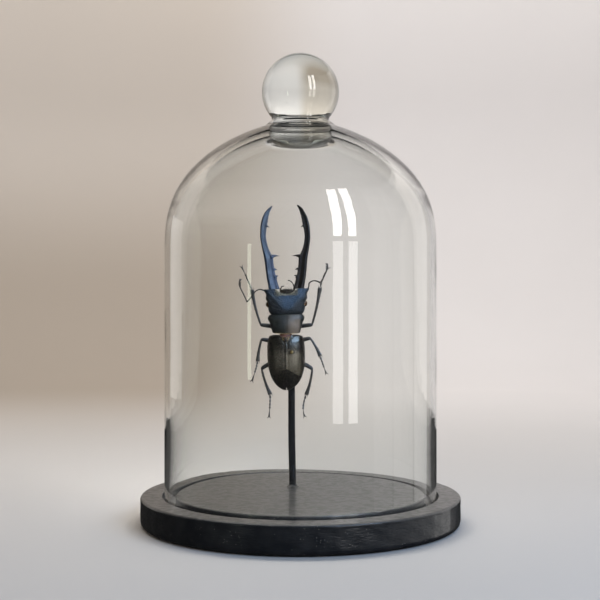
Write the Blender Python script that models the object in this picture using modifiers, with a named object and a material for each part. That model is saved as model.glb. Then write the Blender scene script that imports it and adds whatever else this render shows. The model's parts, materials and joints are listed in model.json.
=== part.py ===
"""Stag beetle pinned to a black rod on a turned wooden base, under a glass dome with a ball knob.

World frame: metres, +Z up, origin at the centre of the base's underside, and the beetle's back faces -Y.
Beetle frame: x across, z along the body with zero where the wing covers begin, y towards the belly.
"""

import math

import bmesh
import bpy
from mathutils import Vector

MM = 0.001
GAP = 0.3

# Base, in mm
BASE_RADIUS = 71.0
RIM_TOP = 12.4
DISC_TOP = 12.95
DISC_RADIUS = 55.15
GROOVE_RADIUS = 61.3
GROOVE_FLOOR = 9.4
EDGE_BEVEL = 0.7
FOOT_ROUND = 2.4

# Dome, in mm
DOME_RADIUS = 60.4
DOME_FOOT = GROOVE_FLOOR + GAP
SHOULDER_START = 120.7
SHOULDER_HEIGHT = 58.7
SHOULDER_RISE = 2.59
SHOULDER_ROUND = 1.49
WALL = 2.3
LIP_ROUND = 1.2
CROWN_WALL = 4.2
NECK_RADIUS = 13.0
NECK_FOOT = 178.6
NECK_FLARE = (14.5, 177.6)
SHOULDER_STEPS = (0.78, 0.68, 0.58, 0.47, 0.36, 0.24, 0.12)
KNOB_RADIUS = 17.25
KNOB_CENTRE = 191.7
BLOB_RADIUS = 13.5
BLOB_DROP = 4.6

# Rod and pin, in mm
ROD_RADIUS = 1.6
ROD_FOOT = (-3.6, 12.3)
ROD_TOP = 80.0
ROD_LEAN = math.radians(-0.66)
ROD_SOCKET = 5.0
COLLAR_RADIUS = 2.7
COLLAR_HEIGHT = 0.9
PIN_PLACE = (2.6, -7.9)
PIN_HEAD_RADIUS = 0.8
PIN_SHAFT_RADIUS = 0.28
PIN_HOLE_RADIUS = 0.6
PIN_POINT = 0.4

# Beetle placement
BEETLE_PLACE = (-6.6, 5.0, 83.35)
BEETLE_LEAN = math.radians(-0.6)
HEAD_OFFSET = 0.6
HEAD_TURN = math.radians(-0.53)
CHEST_OFFSET = 0.25
SIDES = {"left": -1.0, "right": 1.0}

# Wing covers, in mm: (z, inner edge, outer edge, height of the crown, depth of the lower rim)
WING_STATIONS = (
    (0.0, 3.1, 5.2, 2.5, 0.5),
    (-0.5, 2.6, 7.2, 3.2, 0.0),
    (-1.6, 1.75, 7.95, 3.7, -0.4),
    (-2.6, 0.95, 8.25, 3.9, -0.6),
    (-3.7, 0.15, 8.4, 4.1, -0.8),
    (-6.5, 0.15, 8.6, 4.3, -1.0),
    (-10.5, 0.15, 8.6, 4.4, -1.1),
    (-14.5, 0.15, 8.35, 4.2, -1.1),
    (-18.0, 0.15, 7.55, 3.7, -1.1),
    (-21.0, 0.15, 6.35, 2.9, -1.0),
    (-23.4, 0.15, 4.6, 1.9, -0.9),
    (-25.0, 0.15, 2.5, 0.9, -0.8),
    (-25.6, 0.15, 1.0, 0.2, -0.7),
)
WING_THICKNESS = 0.5

# Body rings, in mm: (z, half width, height above the middle, depth below it)
HEAD_STATIONS = (
    (9.5, 7.3, 2.6, 2.4),
    (10.5, 8.0, 3.0, 2.9),
    (12.3, 8.4, 3.3, 3.2),
    (13.9, 8.6, 3.3, 3.3),
    (14.9, 9.4, 3.0, 3.2),
    (16.1, 9.25, 2.5, 2.8),
    (17.5, 10.0, 1.9, 2.1),
)
HEAD_CORNER_RISE = 2.8
HEAD_CORNER_START = 0.52
MOUTH_HOLLOW = (17.4, 3.0, 0.9, 1.1)
CHEST_STATIONS = (
    (0.55, 5.2, 2.3, 2.2),
    (0.95, 6.15, 2.8, 2.6),
    (2.2, 6.6, 3.3, 2.9),
    (4.0, 7.15, 3.6, 3.0),
    (5.6, 7.55, 3.6, 3.0),
    (6.9, 8.2, 3.4, 2.9),
    (8.0, 8.25, 3.1, 2.7),
    (9.15, 7.5, 2.5, 2.3),
)
MIDBODY_STATIONS = (
    (0.25, 1.9, 1.3, 1.4),
    (-0.5, 2.3, 1.9, 2.2),
    (-1.2, 5.6, 2.5, 3.0),
    (-3.3, 6.6, 2.7, 3.4),
)
REARBODY_STATIONS = (
    (-3.7, 6.7, 2.8, 3.5),
    (-5.6, 7.2, 3.0, 3.7),
    (-8.8, 7.35, 3.1, 3.7),
    (-12.2, 7.15, 3.1, 3.5),
)
ABDOMEN_STATIONS = (
    (-12.6, 7.1, 3.1, 3.4),
    (-15.0, 6.8, 2.9, 3.2),
    (-18.0, 6.1, 2.4, 2.9),
    (-20.7, 5.1, 1.7, 2.5),
    (-22.8, 3.9, 1.0, 2.0),
    (-24.4, 2.3, 0.3, 1.4),
)
SCUTELLUM_STATIONS = ((1.4, -1.2), (0.9, -2.1), (0.12, -3.2))
SCUTELLUM_TOP = 3.75
SCUTELLUM_EDGE = 3.25
SCUTELLUM_ROOT = 2.0

# Mandible rails, in mm: (outer x, outer z, inner x, inner z, half thickness, depth)
MANDIBLE_STATIONS = (
    (8.05, 20.85, 2.9, 20.65, 1.7, 0.0),
    (8.4, 22.6, 3.7, 22.6, 1.6, -0.1),
    (8.9, 25.4, 4.2, 25.3, 1.3, -0.2),
    (9.1, 27.2, 5.1, 27.1, 1.35, -0.3),
    (9.3, 28.8, 4.7, 28.7, 1.25, -0.3),
    (9.55, 31.4, 5.55, 31.4, 1.25, -0.4),
    (9.85, 33.9, 5.3, 33.8, 1.2, -0.5),
    (10.05, 35.2, 2.95, 34.95, 1.0, -0.5),
    (10.35, 36.8, 6.6, 36.1, 1.15, -0.5),
    (10.9, 39.7, 8.0, 39.5, 1.1, -0.5),
    (11.4, 43.8, 8.7, 43.9, 1.1, -0.4),
    (11.3, 47.6, 8.45, 47.3, 1.05, -0.2),
    (11.15, 49.4, 7.3, 48.8, 0.9, -0.1),
    (10.8, 51.4, 7.95, 50.5, 1.0, 0.0),
    (9.85, 54.5, 7.4, 53.7, 0.95, 0.3),
    (8.2, 57.2, 6.7, 56.0, 0.75, 0.6),
    (5.9, 59.1, 5.5, 58.5, 0.25, 0.9),
)

# Coxae, in mm: (inner x, outer x, z, y), the same on both sides
COXAE = {
    "fore": (0.7, 3.3, 3.2, 4.05),
    "middle": (0.9, 3.5, -4.1, 4.7),
    "hind": (1.0, 4.6, -13.4, 4.5),
}
COXA_HALF_WIDE = 0.95
COXA_HALF_THICK = 0.7

# Legs, in mm: (knee, end of the tibia, middle of the tarsus, end of the tarsus), each (x, y, z)
LEGS = {
    ("fore", "left"): ((-11.4, 2.8, 4.5), (-15.3, 2.2, 20.2), (-17.8, 3.0, 25.8), (-20.0, 3.4, 30.4)),
    ("fore", "right"): ((12.0, 2.8, 4.3), (15.6, 2.2, 20.5), (17.6, 3.2, 26.2), (19.6, 3.6, 29.6)),
    ("middle", "left"): ((-11.2, 3.4, -2.3), (-13.1, 3.4, -12.5), (-14.2, 3.8, -16.6), (-15.8, 3.9, -21.5)),
    ("middle", "right"): ((11.1, 3.4, -1.8), (15.5, 3.2, -10.2), (16.8, 3.7, -14.6), (18.1, 3.9, -18.4)),
    ("hind", "left"): ((-11.4, 3.4, -16.1), (-7.5, 3.6, -27.6), (-7.7, 3.9, -32.6), (-8.1, 4.0, -37.5)),
    ("hind", "right"): ((11.8, 3.4, -16.3), (8.9, 3.6, -28.0), (7.5, 3.9, -33.2), (8.1, 4.0, -37.6)),
}
FEMUR_STEPS = ((0.0, 0.55, 0.5), (0.12, 0.8, 0.7), (0.5, 1.0, 0.8), (0.85, 0.85, 0.7), (1.0, 0.55, 0.5))
TIBIA_STEPS = ((0.0, 0.4, 0.4), (0.08, 0.55, 0.5), (0.5, 0.62, 0.5), (0.85, 0.78, 0.55), (1.0, 0.95, 0.55))
TARSUS_JOINTS = 5
TARSUS_BEAD = 0.36
TARSUS_WAIST = 0.2
CLAW_LENGTH = 1.5
CLAW_RADII = (0.17, 0.13, 0.04)
COXA_STEPS = ((0.0, 0.5), (0.2, 0.9), (0.6, 1.0), (1.0, 0.7))

# Antennae in the head's frame, in mm: the scape's points and the flagellum's points, each (x, y, z)
SCAPES = {
    "left": (
        (-10.05, 0.4, 19.7), (-11.8, 0.2, 20.4), (-13.7, 0.0, 19.8), (-15.3, -0.2, 18.0), (-17.6, -0.3, 15.3),
    ),
    "right": (
        (10.05, 0.4, 20.8), (10.4, 0.1, 22.6), (12.0, -0.3, 23.5), (13.6, -0.6, 23.4), (15.0, -0.8, 22.8),
    ),
}
FLAGELLA = {
    "left": (
        (-18.1, -0.3, 15.7), (-19.0, -0.3, 17.8), (-20.4, -0.2, 20.5), (-21.3, -0.1, 22.7), (-20.9, 0.0, 25.4),
    ),
    "right": (
        (15.7, -0.9, 23.2), (16.6, -1.0, 24.4), (17.9, -1.0, 27.0), (18.7, -0.9, 29.0), (18.7, -0.8, 31.4),
    ),
}
SCAPE_RADIUS = 0.36
SCAPE_SHAPE = (0.7, 1.0, 0.8, 0.9, 1.25)
FLAGELLUM_RADIUS = 0.24
CLUB_RADIUS = 0.5
CLUB_TIP_RADIUS = 0.3


def clear_scene():
    """Remove whatever objects the scene starts with."""
    for thing in list(bpy.context.scene.objects):
        bpy.data.objects.remove(thing, do_unlink=True)


def new_collection(name):
    group = bpy.data.collections.new(name)
    bpy.context.scene.collection.children.link(group)
    return group


def new_empty(name, place=(0.0, 0.0, 0.0), lean=0.0, parent=None):
    """An empty that carries a group of pieces; place is in mm and lean turns it about its y axis."""
    empty = bpy.data.objects.new(name, None)
    empty.location = Vector(place) * MM
    empty.rotation_euler = (0.0, lean, 0.0)
    empty.parent = parent
    parts.objects.link(empty)
    return empty


def finish(name, colour, roughness, metallic=0.0, transmission=0.0):
    """A Principled material."""
    material = bpy.data.materials.new(name)
    material.use_nodes = True
    shader = material.node_tree.nodes["Principled BSDF"]
    shader.inputs["Base Color"].default_value = (*colour, 1.0)
    shader.inputs["Roughness"].default_value = roughness
    shader.inputs["Metallic"].default_value = metallic
    shader.inputs["Transmission Weight"].default_value = transmission
    return material


def place_piece(name, mesh, material, parent=None, group=None):
    """Link a mesh as a named piece, smooth where it is round."""
    mesh.materials.append(material)
    mesh.shade_smooth()
    mesh.set_sharp_from_angle(angle=math.radians(35.0))
    piece = bpy.data.objects.new(name, mesh)
    piece.parent = parent
    (group or parts).objects.link(piece)
    return piece


def as_cutter(piece):
    piece.hide_render = True
    piece.display_type = "WIRE"
    return piece


def boolean(piece, other, operation):
    cut = piece.modifiers.new(f"{operation.lower()} {other.name}", "BOOLEAN")
    cut.operation = operation
    cut.solver = "EXACT"
    cut.object = other


def turned(name, profile, steps, material, parent=None, group=None):
    """Turn a profile of (radius, height) points in mm, from the top of the axis down the outer side."""
    mesh = bpy.data.meshes.new(name)
    points = [(radius * MM, 0.0, height * MM) for radius, height in profile]
    mesh.from_pydata(points, [(i, i + 1) for i in range(len(points) - 1)], [])
    piece = place_piece(name, mesh, material, parent, group)
    screw = piece.modifiers.new("turn", "SCREW")
    screw.steps = steps
    screw.render_steps = steps
    screw.use_merge_vertices = True
    screw.merge_threshold = 0.00001
    return piece


def lofted(name, rings, material, parent=None, group=None):
    """Join closed rings of points in mm, in order, and cap both ends with a fan."""
    shape = bmesh.new()
    loops = [[shape.verts.new(point * MM) for point in ring] for ring in rings]
    count = len(loops[0])
    for near, far in zip(loops, loops[1:]):
        for i in range(count):
            j = (i + 1) % count
            shape.faces.new((near[i], near[j], far[j], far[i]))
    for loop in (loops[0], loops[-1]):
        hub = shape.verts.new(sum((vert.co for vert in loop), Vector()) / count)
        for i in range(count):
            shape.faces.new((loop[i], loop[(i + 1) % count], hub))
    bmesh.ops.recalc_face_normals(shape, faces=shape.faces)
    mesh = bpy.data.meshes.new(name)
    shape.to_mesh(mesh)
    shape.free()
    return place_piece(name, mesh, material, parent, group)


def signed_power(value, power):
    return math.copysign(abs(value) ** power, value)


def body_ring(station, count=16, squareness=2.15, corner_rise=0.0, middle=0.0):
    """A ring across the body: station is (z, half width, height, depth), and corner_rise lifts its sides."""
    z, half_width, height, depth = station
    ring = []
    for i in range(count):
        angle = 2.0 * math.pi * i / count
        across = signed_power(math.cos(angle), 2.0 / squareness)
        rise = signed_power(math.sin(angle), 2.0 / squareness)
        y = middle - rise * (height if rise > 0.0 else depth)
        lift = corner_rise * min(1.0, abs(across) / HEAD_CORNER_START) ** 2.7
        ring.append(Vector((half_width * across, y, z + lift)))
    return ring


def wing_ring(station, side, steps=6):
    """A ring across one wing cover: its outer arc from the seam to the rim, then back along the inside."""
    z, inner_x, outer_x, crown, rim = station

    def arc(inset):
        wide = outer_x - inset
        high = crown - inset
        start = min(inner_x, wide * 0.8)
        for i in range(steps + 1):
            x = start + (wide - start) * math.sin(0.5 * math.pi * i / steps)
            y = rim + (high - rim) * math.sqrt(max(0.0, 1.0 - (x / wide) ** 2.6))
            yield Vector((side * x, -y, z))

    inset = min(WING_THICKNESS, 0.4 * (crown - rim))
    return list(arc(0.0)) + list(arc(inset))[::-1]


def rail_ring(station, side, count=8):
    """A ring between the outer and inner edge of a mandible."""
    outer_x, outer_z, inner_x, inner_z, half_thick, depth = station
    middle = Vector((outer_x + inner_x, 0.0, outer_z + inner_z)) / 2.0
    reach = Vector((outer_x - inner_x, 0.0, outer_z - inner_z)) / 2.0
    ring = []
    for i in range(count):
        angle = 2.0 * math.pi * i / count
        point = middle + reach * math.cos(angle)
        ring.append(Vector((side * point.x, depth + half_thick * math.sin(angle), point.z)))
    return ring


def limb_rings(points, half_wide, half_thick, count=8):
    """Rings across a path in mm, wide in the plane of the body's back and thin along y."""
    rings = []
    for i, point in enumerate(points):
        ahead = points[min(i + 1, len(points) - 1)] - points[max(i - 1, 0)]
        across = Vector((ahead.z, 0.0, -ahead.x)).normalized()
        ring = []
        for k in range(count):
            angle = 2.0 * math.pi * k / count
            offset = across * half_wide[i] * math.cos(angle)
            ring.append(point + offset + Vector((0.0, half_thick[i] * math.sin(angle), 0.0)))
        rings.append(ring)
    return rings


def tapered_limb(name, start, end, steps, material, parent, count=8):
    """A limb segment along a straight line, with (fraction, half width, half thickness) steps."""
    points = [start.lerp(end, step[0]) for step in steps]
    rings = limb_rings(points, [step[1] for step in steps], [step[2] for step in steps], count)
    return lofted(name, rings, material, parent)


def feeler(name, points, radii, material, parent):
    """A round feeler as a bevelled curve with filled caps."""
    curve = bpy.data.curves.new(name, "CURVE")
    curve.dimensions = "3D"
    curve.bevel_depth = MM
    curve.bevel_resolution = 1
    curve.use_fill_caps = True
    spline = curve.splines.new("POLY")
    spline.points.add(len(points) - 1)
    for point, place, radius in zip(spline.points, points, radii):
        point.co = (*(place * MM), 1.0)
        point.radius = radius
    curve.materials.append(material)
    piece = bpy.data.objects.new(name, curve)
    piece.parent = parent
    parts.objects.link(piece)
    return piece


def arc_points(centre, radius, start, end, steps):
    """Points of (radius, height) on an arc, with angles in degrees from the axis of +radius."""
    points = []
    for i in range(steps + 1):
        angle = math.radians(start + (end - start) * i / steps)
        points.append((centre[0] + radius * math.cos(angle), centre[1] + radius * math.sin(angle)))
    return points


def make_base():
    bevel = EDGE_BEVEL
    profile = [(0.0, DISC_TOP), (DISC_RADIUS - bevel, DISC_TOP), (DISC_RADIUS, DISC_TOP - bevel)]
    profile += [(DISC_RADIUS, GROOVE_FLOOR), (GROOVE_RADIUS, GROOVE_FLOOR)]
    profile += [(GROOVE_RADIUS, RIM_TOP - bevel / 2.0), (GROOVE_RADIUS + bevel / 2.0, RIM_TOP)]
    profile += arc_points((BASE_RADIUS - bevel, RIM_TOP - bevel), bevel, 90.0, 0.0, 2)
    profile += arc_points((BASE_RADIUS - FOOT_ROUND, FOOT_ROUND), FOOT_ROUND, 0.0, -90.0, 3)
    profile.append((0.0, 0.0))
    base = turned("wood_base", profile, 48, finish("black painted wood", (0.02, 0.019, 0.02), 0.38))
    socket_mouth = DISC_TOP + ROD_SOCKET
    socket_profile = [(0.0, socket_mouth), (ROD_RADIUS + GAP, socket_mouth)]
    socket_depth = DISC_TOP - ROD_SOCKET - GAP
    socket_profile += [(ROD_RADIUS + GAP, socket_depth), (0.0, socket_depth)]
    socket = turned("rod_socket", socket_profile, 16, cutter_finish, group=cutters)
    socket.location = (ROD_FOOT[0] * MM, ROD_FOOT[1] * MM, 0.0)
    boolean(base, as_cutter(socket), "DIFFERENCE")


def shoulder(radius, height, fraction):
    """A point of the dome's rounded shoulder, from its side (0) to the axis (1)."""
    rise = math.sin(0.5 * math.pi * fraction)
    inward = max(0.0, 1.0 - rise**SHOULDER_RISE) ** (1.0 / SHOULDER_ROUND)
    return radius * inward, SHOULDER_START + height * rise


def make_dome():
    neck_height = KNOB_CENTRE - math.sqrt(KNOB_RADIUS**2 - NECK_RADIUS**2)
    neck_angle = math.degrees(math.asin((neck_height - KNOB_CENTRE) / KNOB_RADIUS))
    outside = arc_points((0.0, KNOB_CENTRE), KNOB_RADIUS, 90.0, neck_angle, 8)
    outside[0] = (0.0, KNOB_CENTRE + KNOB_RADIUS)
    outside += [(NECK_RADIUS, NECK_FOOT), NECK_FLARE]
    outside += [shoulder(DOME_RADIUS, SHOULDER_HEIGHT, fraction) for fraction in SHOULDER_STEPS]
    outside += [(DOME_RADIUS, SHOULDER_START), (DOME_RADIUS, DOME_FOOT + LIP_ROUND)]
    outside.append((DOME_RADIUS - WALL / 2.0, DOME_FOOT))
    inner_radius = DOME_RADIUS - WALL
    inner_height = SHOULDER_HEIGHT - CROWN_WALL
    inside = [(inner_radius, DOME_FOOT + LIP_ROUND), (inner_radius, SHOULDER_START)]
    inside += [shoulder(inner_radius, inner_height, fraction) for fraction in SHOULDER_STEPS[::-1]]
    top = SHOULDER_START + inner_height
    inside += [(BLOB_RADIUS + 1.5, top - 1.6), (BLOB_RADIUS - 1.0, top - 0.62 * BLOB_DROP)]
    inside += [(0.55 * BLOB_RADIUS, top - 0.95 * BLOB_DROP), (0.0, top - BLOB_DROP)]
    turned("glass_dome", outside + inside, 40, finish("clear glass", (0.93, 0.97, 0.95), 0.02, 0.0, 1.0))


def make_rod():
    foot = DISC_TOP - ROD_SOCKET
    length = ROD_TOP - foot
    profile = [(0.0, length), (ROD_RADIUS * 0.6, length), (ROD_RADIUS, length - 0.6)]
    profile += [(ROD_RADIUS, 0.4), (ROD_RADIUS - 0.4, 0.0), (0.0, 0.0)]
    black_gloss = finish("gloss black rod", (0.012, 0.012, 0.014), 0.15)
    rod = turned("rod", profile, 16, black_gloss)
    rod.location = (ROD_FOOT[0] * MM, ROD_FOOT[1] * MM, foot * MM)
    rod.rotation_euler = (0.0, ROD_LEAN, 0.0)
    inner = ROD_RADIUS + GAP
    bottom = DISC_TOP + GAP
    ring = [(inner, bottom + COLLAR_HEIGHT), (inner + 0.4, bottom + COLLAR_HEIGHT)]
    ring += [(COLLAR_RADIUS, bottom + 0.3), (COLLAR_RADIUS, bottom), (inner, bottom)]
    collar = turned("rod_collar", ring + ring[:1], 16, finish("black glue", (0.02, 0.02, 0.02), 0.3))
    collar.location = (ROD_FOOT[0] * MM, ROD_FOOT[1] * MM, 0.0)
    return rod


def make_pin(beetle):
    """The pin lies along y, with its head over the right wing cover and its point inside the rod."""
    crown = max(station[3] for station in WING_STATIONS)
    head_rise = crown + GAP + PIN_HEAD_RADIUS
    reach = ROD_FOOT[1] - BEETLE_PLACE[1]
    head = arc_points((0.0, head_rise), PIN_HEAD_RADIUS, 90.0, -60.0, 5)
    head[0] = (0.0, head_rise + PIN_HEAD_RADIUS)
    shaft = [(PIN_SHAFT_RADIUS, head_rise - PIN_HEAD_RADIUS * 0.9)]
    shaft += [(PIN_SHAFT_RADIUS, PIN_POINT - reach), (0.0, -reach)]
    pin = turned("pin", head + shaft, 10, finish("brass", (0.72, 0.5, 0.22), 0.3, 1.0), beetle)
    pin.location = (PIN_PLACE[0] * MM, 0.0, PIN_PLACE[1] * MM)
    pin.rotation_euler = (math.radians(90.0), 0.0, 0.0)
    mouth = head_rise + PIN_HEAD_RADIUS + GAP
    bore = [(0.0, mouth), (PIN_HOLE_RADIUS, mouth)]
    bore += [(PIN_HOLE_RADIUS, -reach - 2.0 * GAP), (0.0, -reach - 2.0 * GAP)]
    cutter = turned("pin_bore", bore, 10, cutter_finish, beetle, cutters)
    cutter.location = pin.location
    cutter.rotation_euler = pin.rotation_euler
    return as_cutter(cutter)


def make_body(beetle, chest):
    black = finish("black-brown shell", (0.03, 0.022, 0.018), 0.3)
    chest_rings = [body_ring(station) for station in CHEST_STATIONS]
    lofted("prothorax", chest_rings, finish("polished chest", (0.03, 0.024, 0.022), 0.25), chest)
    neck = [body_ring(station) for station in MIDBODY_STATIONS]
    midbody = lofted("mesothorax", neck, finish("red-brown neck", (0.09, 0.03, 0.018), 0.4), beetle)
    roof = (
        (1.0, SCUTELLUM_ROOT),
        (1.0, SCUTELLUM_EDGE),
        (0.0, SCUTELLUM_TOP),
        (-1.0, SCUTELLUM_EDGE),
        (-1.0, SCUTELLUM_ROOT),
    )
    plate = [[Vector((half * x, -rise, z)) for x, rise in roof] for half, z in SCUTELLUM_STATIONS]
    scutellum = lofted("scutellum_plate", plate, cutter_finish, beetle, cutters)
    boolean(midbody, as_cutter(scutellum), "UNION")
    rearbody = lofted("metathorax", [body_ring(s) for s in REARBODY_STATIONS], black, beetle)
    lofted("abdomen", [body_ring(s) for s in ABDOMEN_STATIONS], black, beetle)
    return rearbody


def make_wings(beetle):
    shell = finish("brown-black wing cover", (0.035, 0.024, 0.016), 0.28)
    wings = {}
    for name, side in SIDES.items():
        rings = [wing_ring(station, side) for station in WING_STATIONS]
        wings[name] = lofted(f"elytron_{name}", rings, shell, beetle)
    return wings


def make_head(head):
    shell = finish("blue-black head", (0.03, 0.04, 0.055), 0.35)
    rings = [
        body_ring(station, corner_rise=HEAD_CORNER_RISE * (i / (len(HEAD_STATIONS) - 1)) ** 2)
        for i, station in enumerate(HEAD_STATIONS)
    ]
    rings.append(body_ring(MOUTH_HOLLOW))
    lofted("head", rings, shell, head)
    jaw_colours = {"left": (0.06, 0.09, 0.16), "right": (0.02, 0.016, 0.018)}
    for name, side in SIDES.items():
        jaw = finish(f"{name} mandible", jaw_colours[name], 0.25)
        rings = [rail_ring(station, side) for station in MANDIBLE_STATIONS]
        lofted(f"mandible_{name}", rings, jaw, head)


def make_mouth(head):
    dark = finish("dark mouthparts", (0.02, 0.014, 0.012), 0.5)
    labrum = ((18.0, 1.8, 0.4, 0.4), (18.8, 2.3, 0.4, 0.4), (19.8, 2.1, 0.3, 0.3), (20.5, 1.2, 0.2, 0.2))
    lofted("labrum", [body_ring(s, 10, middle=-0.3) for s in labrum], dark, head)
    labium = ((18.0, 1.3, 0.35, 0.35), (19.2, 1.5, 0.35, 0.35), (20.2, 0.9, 0.25, 0.25))
    lofted("labium", [body_ring(s, 10, middle=2.45) for s in labium], dark, head)
    route = ((1.5, 18.1), (1.7, 20.2), (2.0, 22.2), (2.4, 23.2), (3.1, 23.3), (3.5, 22.8))
    half_wide = (0.7, 0.65, 0.36, 0.3, 0.3, 0.2)
    half_thick = (0.45, 0.45, 0.32, 0.28, 0.28, 0.2)
    for name, side in SIDES.items():
        points = [Vector((side * x, 1.3, z)) for x, z in route]
        lofted(f"maxilla_{name}", limb_rings(points, half_wide, half_thick, 6), dark, head)


def make_antennae(head):
    shell = finish("brown antenna", (0.03, 0.02, 0.015), 0.35)
    for name in SIDES:
        scape = [Vector(point) for point in SCAPES[name]]
        radii = [SCAPE_RADIUS * factor for factor in SCAPE_SHAPE]
        feeler(f"antenna_scape_{name}", scape, radii, shell, head)
        route = [Vector(point) for point in FLAGELLA[name]]
        points = []
        for near, far in zip(route[:2], route[1:3]):
            points += [near, near.lerp(far, 0.5)]
        points += route[2:4]
        beads = [FLAGELLUM_RADIUS * (1.15 if i % 2 else 0.9) for i in range(len(points))]
        points += [route[3].lerp(route[4], 0.3), route[3].lerp(route[4], 0.75), route[4]]
        beads += [CLUB_RADIUS, CLUB_RADIUS, CLUB_TIP_RADIUS]
        feeler(f"antenna_flagellum_{name}", points, beads, shell, head)


def make_leg(pair, name, beetle, shell):
    side = SIDES[name]
    inner_x, outer_x, coxa_z, coxa_y = COXAE[pair]
    coxa_start = Vector((side * inner_x, coxa_y, coxa_z))
    coxa_end = Vector((side * outer_x, coxa_y, coxa_z))
    coxa_steps = [(place, COXA_HALF_WIDE * size, COXA_HALF_THICK * size) for place, size in COXA_STEPS]
    tapered_limb(f"coxa_{pair}_{name}", coxa_start, coxa_end, coxa_steps, shell, beetle, 8)
    knee, shin_end, foot_middle, foot_end = [Vector(point) for point in LEGS[pair, name]]
    hip = coxa_end + (knee - coxa_end).normalized() * (2.0 * GAP)
    tapered_limb(f"femur_{pair}_{name}", hip, knee, FEMUR_STEPS, shell, beetle)
    along = (shin_end - knee).normalized()
    shin_start = knee + along * (FEMUR_STEPS[-1][1] + GAP)
    tapered_limb(f"tibia_{pair}_{name}", shin_start, shin_end, TIBIA_STEPS, shell, beetle)
    make_tarsus(pair, name, shin_end, foot_middle, foot_end, beetle, shell)


def make_tarsus(pair, name, shin_end, foot_middle, foot_end, beetle, shell):
    """Five beads along a bent line, with a pair of claws joined to the last."""
    start = shin_end + (foot_middle - shin_end).normalized() * GAP
    points, radii = [], []
    for i in range(2 * TARSUS_JOINTS):
        fraction = i / (2.0 * TARSUS_JOINTS - 1.0)
        near = start.lerp(foot_middle, fraction)
        points.append(near.lerp(foot_middle.lerp(foot_end, fraction), fraction))
        radii.append(TARSUS_BEAD if i % 2 else TARSUS_WAIST)
    title = f"tarsus_{pair}_{name}"
    tarsus = lofted(title, limb_rings(points, radii, radii, 6), shell, beetle)
    ahead = (foot_end - foot_middle).normalized()
    across = Vector((ahead.z, 0.0, -ahead.x))
    for hand in (-1.0, 1.0):
        bend = [foot_end - ahead * 0.25 + across * hand * 0.06]
        bend.append(foot_end + (ahead * 0.25 + across * hand * 0.4) * CLAW_LENGTH)
        bend.append(foot_end + (ahead * 0.62 + across * hand * 0.5) * CLAW_LENGTH)
        radii = CLAW_RADII
        claw_rings = limb_rings(bend, radii, radii, 5)
        claw = lofted(f"claw_{title}_{hand:+.0f}", claw_rings, cutter_finish, beetle, cutters)
        boolean(tarsus, as_cutter(claw), "UNION")


clear_scene()
parts = new_collection("stag beetle under glass")
cutters = new_collection("cutters")
cutter_finish = finish("cutter", (0.8, 0.2, 0.2), 0.5)
beetle_mount = new_empty("beetle_mount", BEETLE_PLACE, BEETLE_LEAN)
chest_mount = new_empty("chest_mount", (CHEST_OFFSET, 0.0, 0.0), 0.0, beetle_mount)
head_mount = new_empty("head_mount", (HEAD_OFFSET, 0.0, 0.0), HEAD_TURN, beetle_mount)

make_base()
make_dome()
rod_piece = make_rod()
rear_piece = make_body(beetle_mount, chest_mount)
wing_pieces = make_wings(beetle_mount)
make_head(head_mount)
make_mouth(head_mount)
make_antennae(head_mount)
leg_finish = finish("black leg", (0.02, 0.016, 0.015), 0.3)
for pair_name, side_name in LEGS:
    make_leg(pair_name, side_name, beetle_mount, leg_finish)
pin_bore = make_pin(beetle_mount)
for bored in (wing_pieces["right"], rear_piece, rod_piece):
    boolean(bored, pin_bore, "DIFFERENCE")
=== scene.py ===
"""Stag beetle pinned under a glass dome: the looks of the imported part, as a set of build operators."""

import json
import math

import bmesh
import bpy
import numpy as np
from bpy.props import FloatProperty, FloatVectorProperty, IntProperty, PointerProperty
from mathutils import Matrix, Vector

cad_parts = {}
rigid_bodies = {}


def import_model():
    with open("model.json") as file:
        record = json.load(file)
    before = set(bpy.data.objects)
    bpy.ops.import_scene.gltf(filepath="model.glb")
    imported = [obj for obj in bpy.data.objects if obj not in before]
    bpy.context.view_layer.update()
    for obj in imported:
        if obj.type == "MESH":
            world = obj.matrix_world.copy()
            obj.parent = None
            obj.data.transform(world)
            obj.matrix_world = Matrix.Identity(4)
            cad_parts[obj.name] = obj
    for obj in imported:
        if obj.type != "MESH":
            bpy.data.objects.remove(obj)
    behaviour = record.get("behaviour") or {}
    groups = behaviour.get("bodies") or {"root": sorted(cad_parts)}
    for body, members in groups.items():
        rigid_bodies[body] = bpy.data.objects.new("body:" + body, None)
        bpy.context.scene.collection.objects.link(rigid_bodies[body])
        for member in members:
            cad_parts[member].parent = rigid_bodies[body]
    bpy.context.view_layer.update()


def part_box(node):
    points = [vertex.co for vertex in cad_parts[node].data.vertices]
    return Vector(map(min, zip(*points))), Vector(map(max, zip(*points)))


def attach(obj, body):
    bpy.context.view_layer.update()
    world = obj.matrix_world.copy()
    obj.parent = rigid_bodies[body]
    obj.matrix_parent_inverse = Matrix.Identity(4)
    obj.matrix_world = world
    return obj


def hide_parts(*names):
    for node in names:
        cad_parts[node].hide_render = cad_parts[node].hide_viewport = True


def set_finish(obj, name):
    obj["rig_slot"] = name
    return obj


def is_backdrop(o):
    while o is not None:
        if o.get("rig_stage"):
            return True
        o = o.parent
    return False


bl_info = {
    "name": "Stag beetle under a glass dome",
    "version": (1, 0, 0),
    "blender": (4, 5, 0),
    "location": "3D View > Sidebar > Specimen",
    "description": "Builds a pinned stag beetle, its black base and its glass dome",
    "category": "Add Mesh",
}

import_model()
MM = 0.001
SIDES = {"left": -1.0, "right": 1.0}

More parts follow.
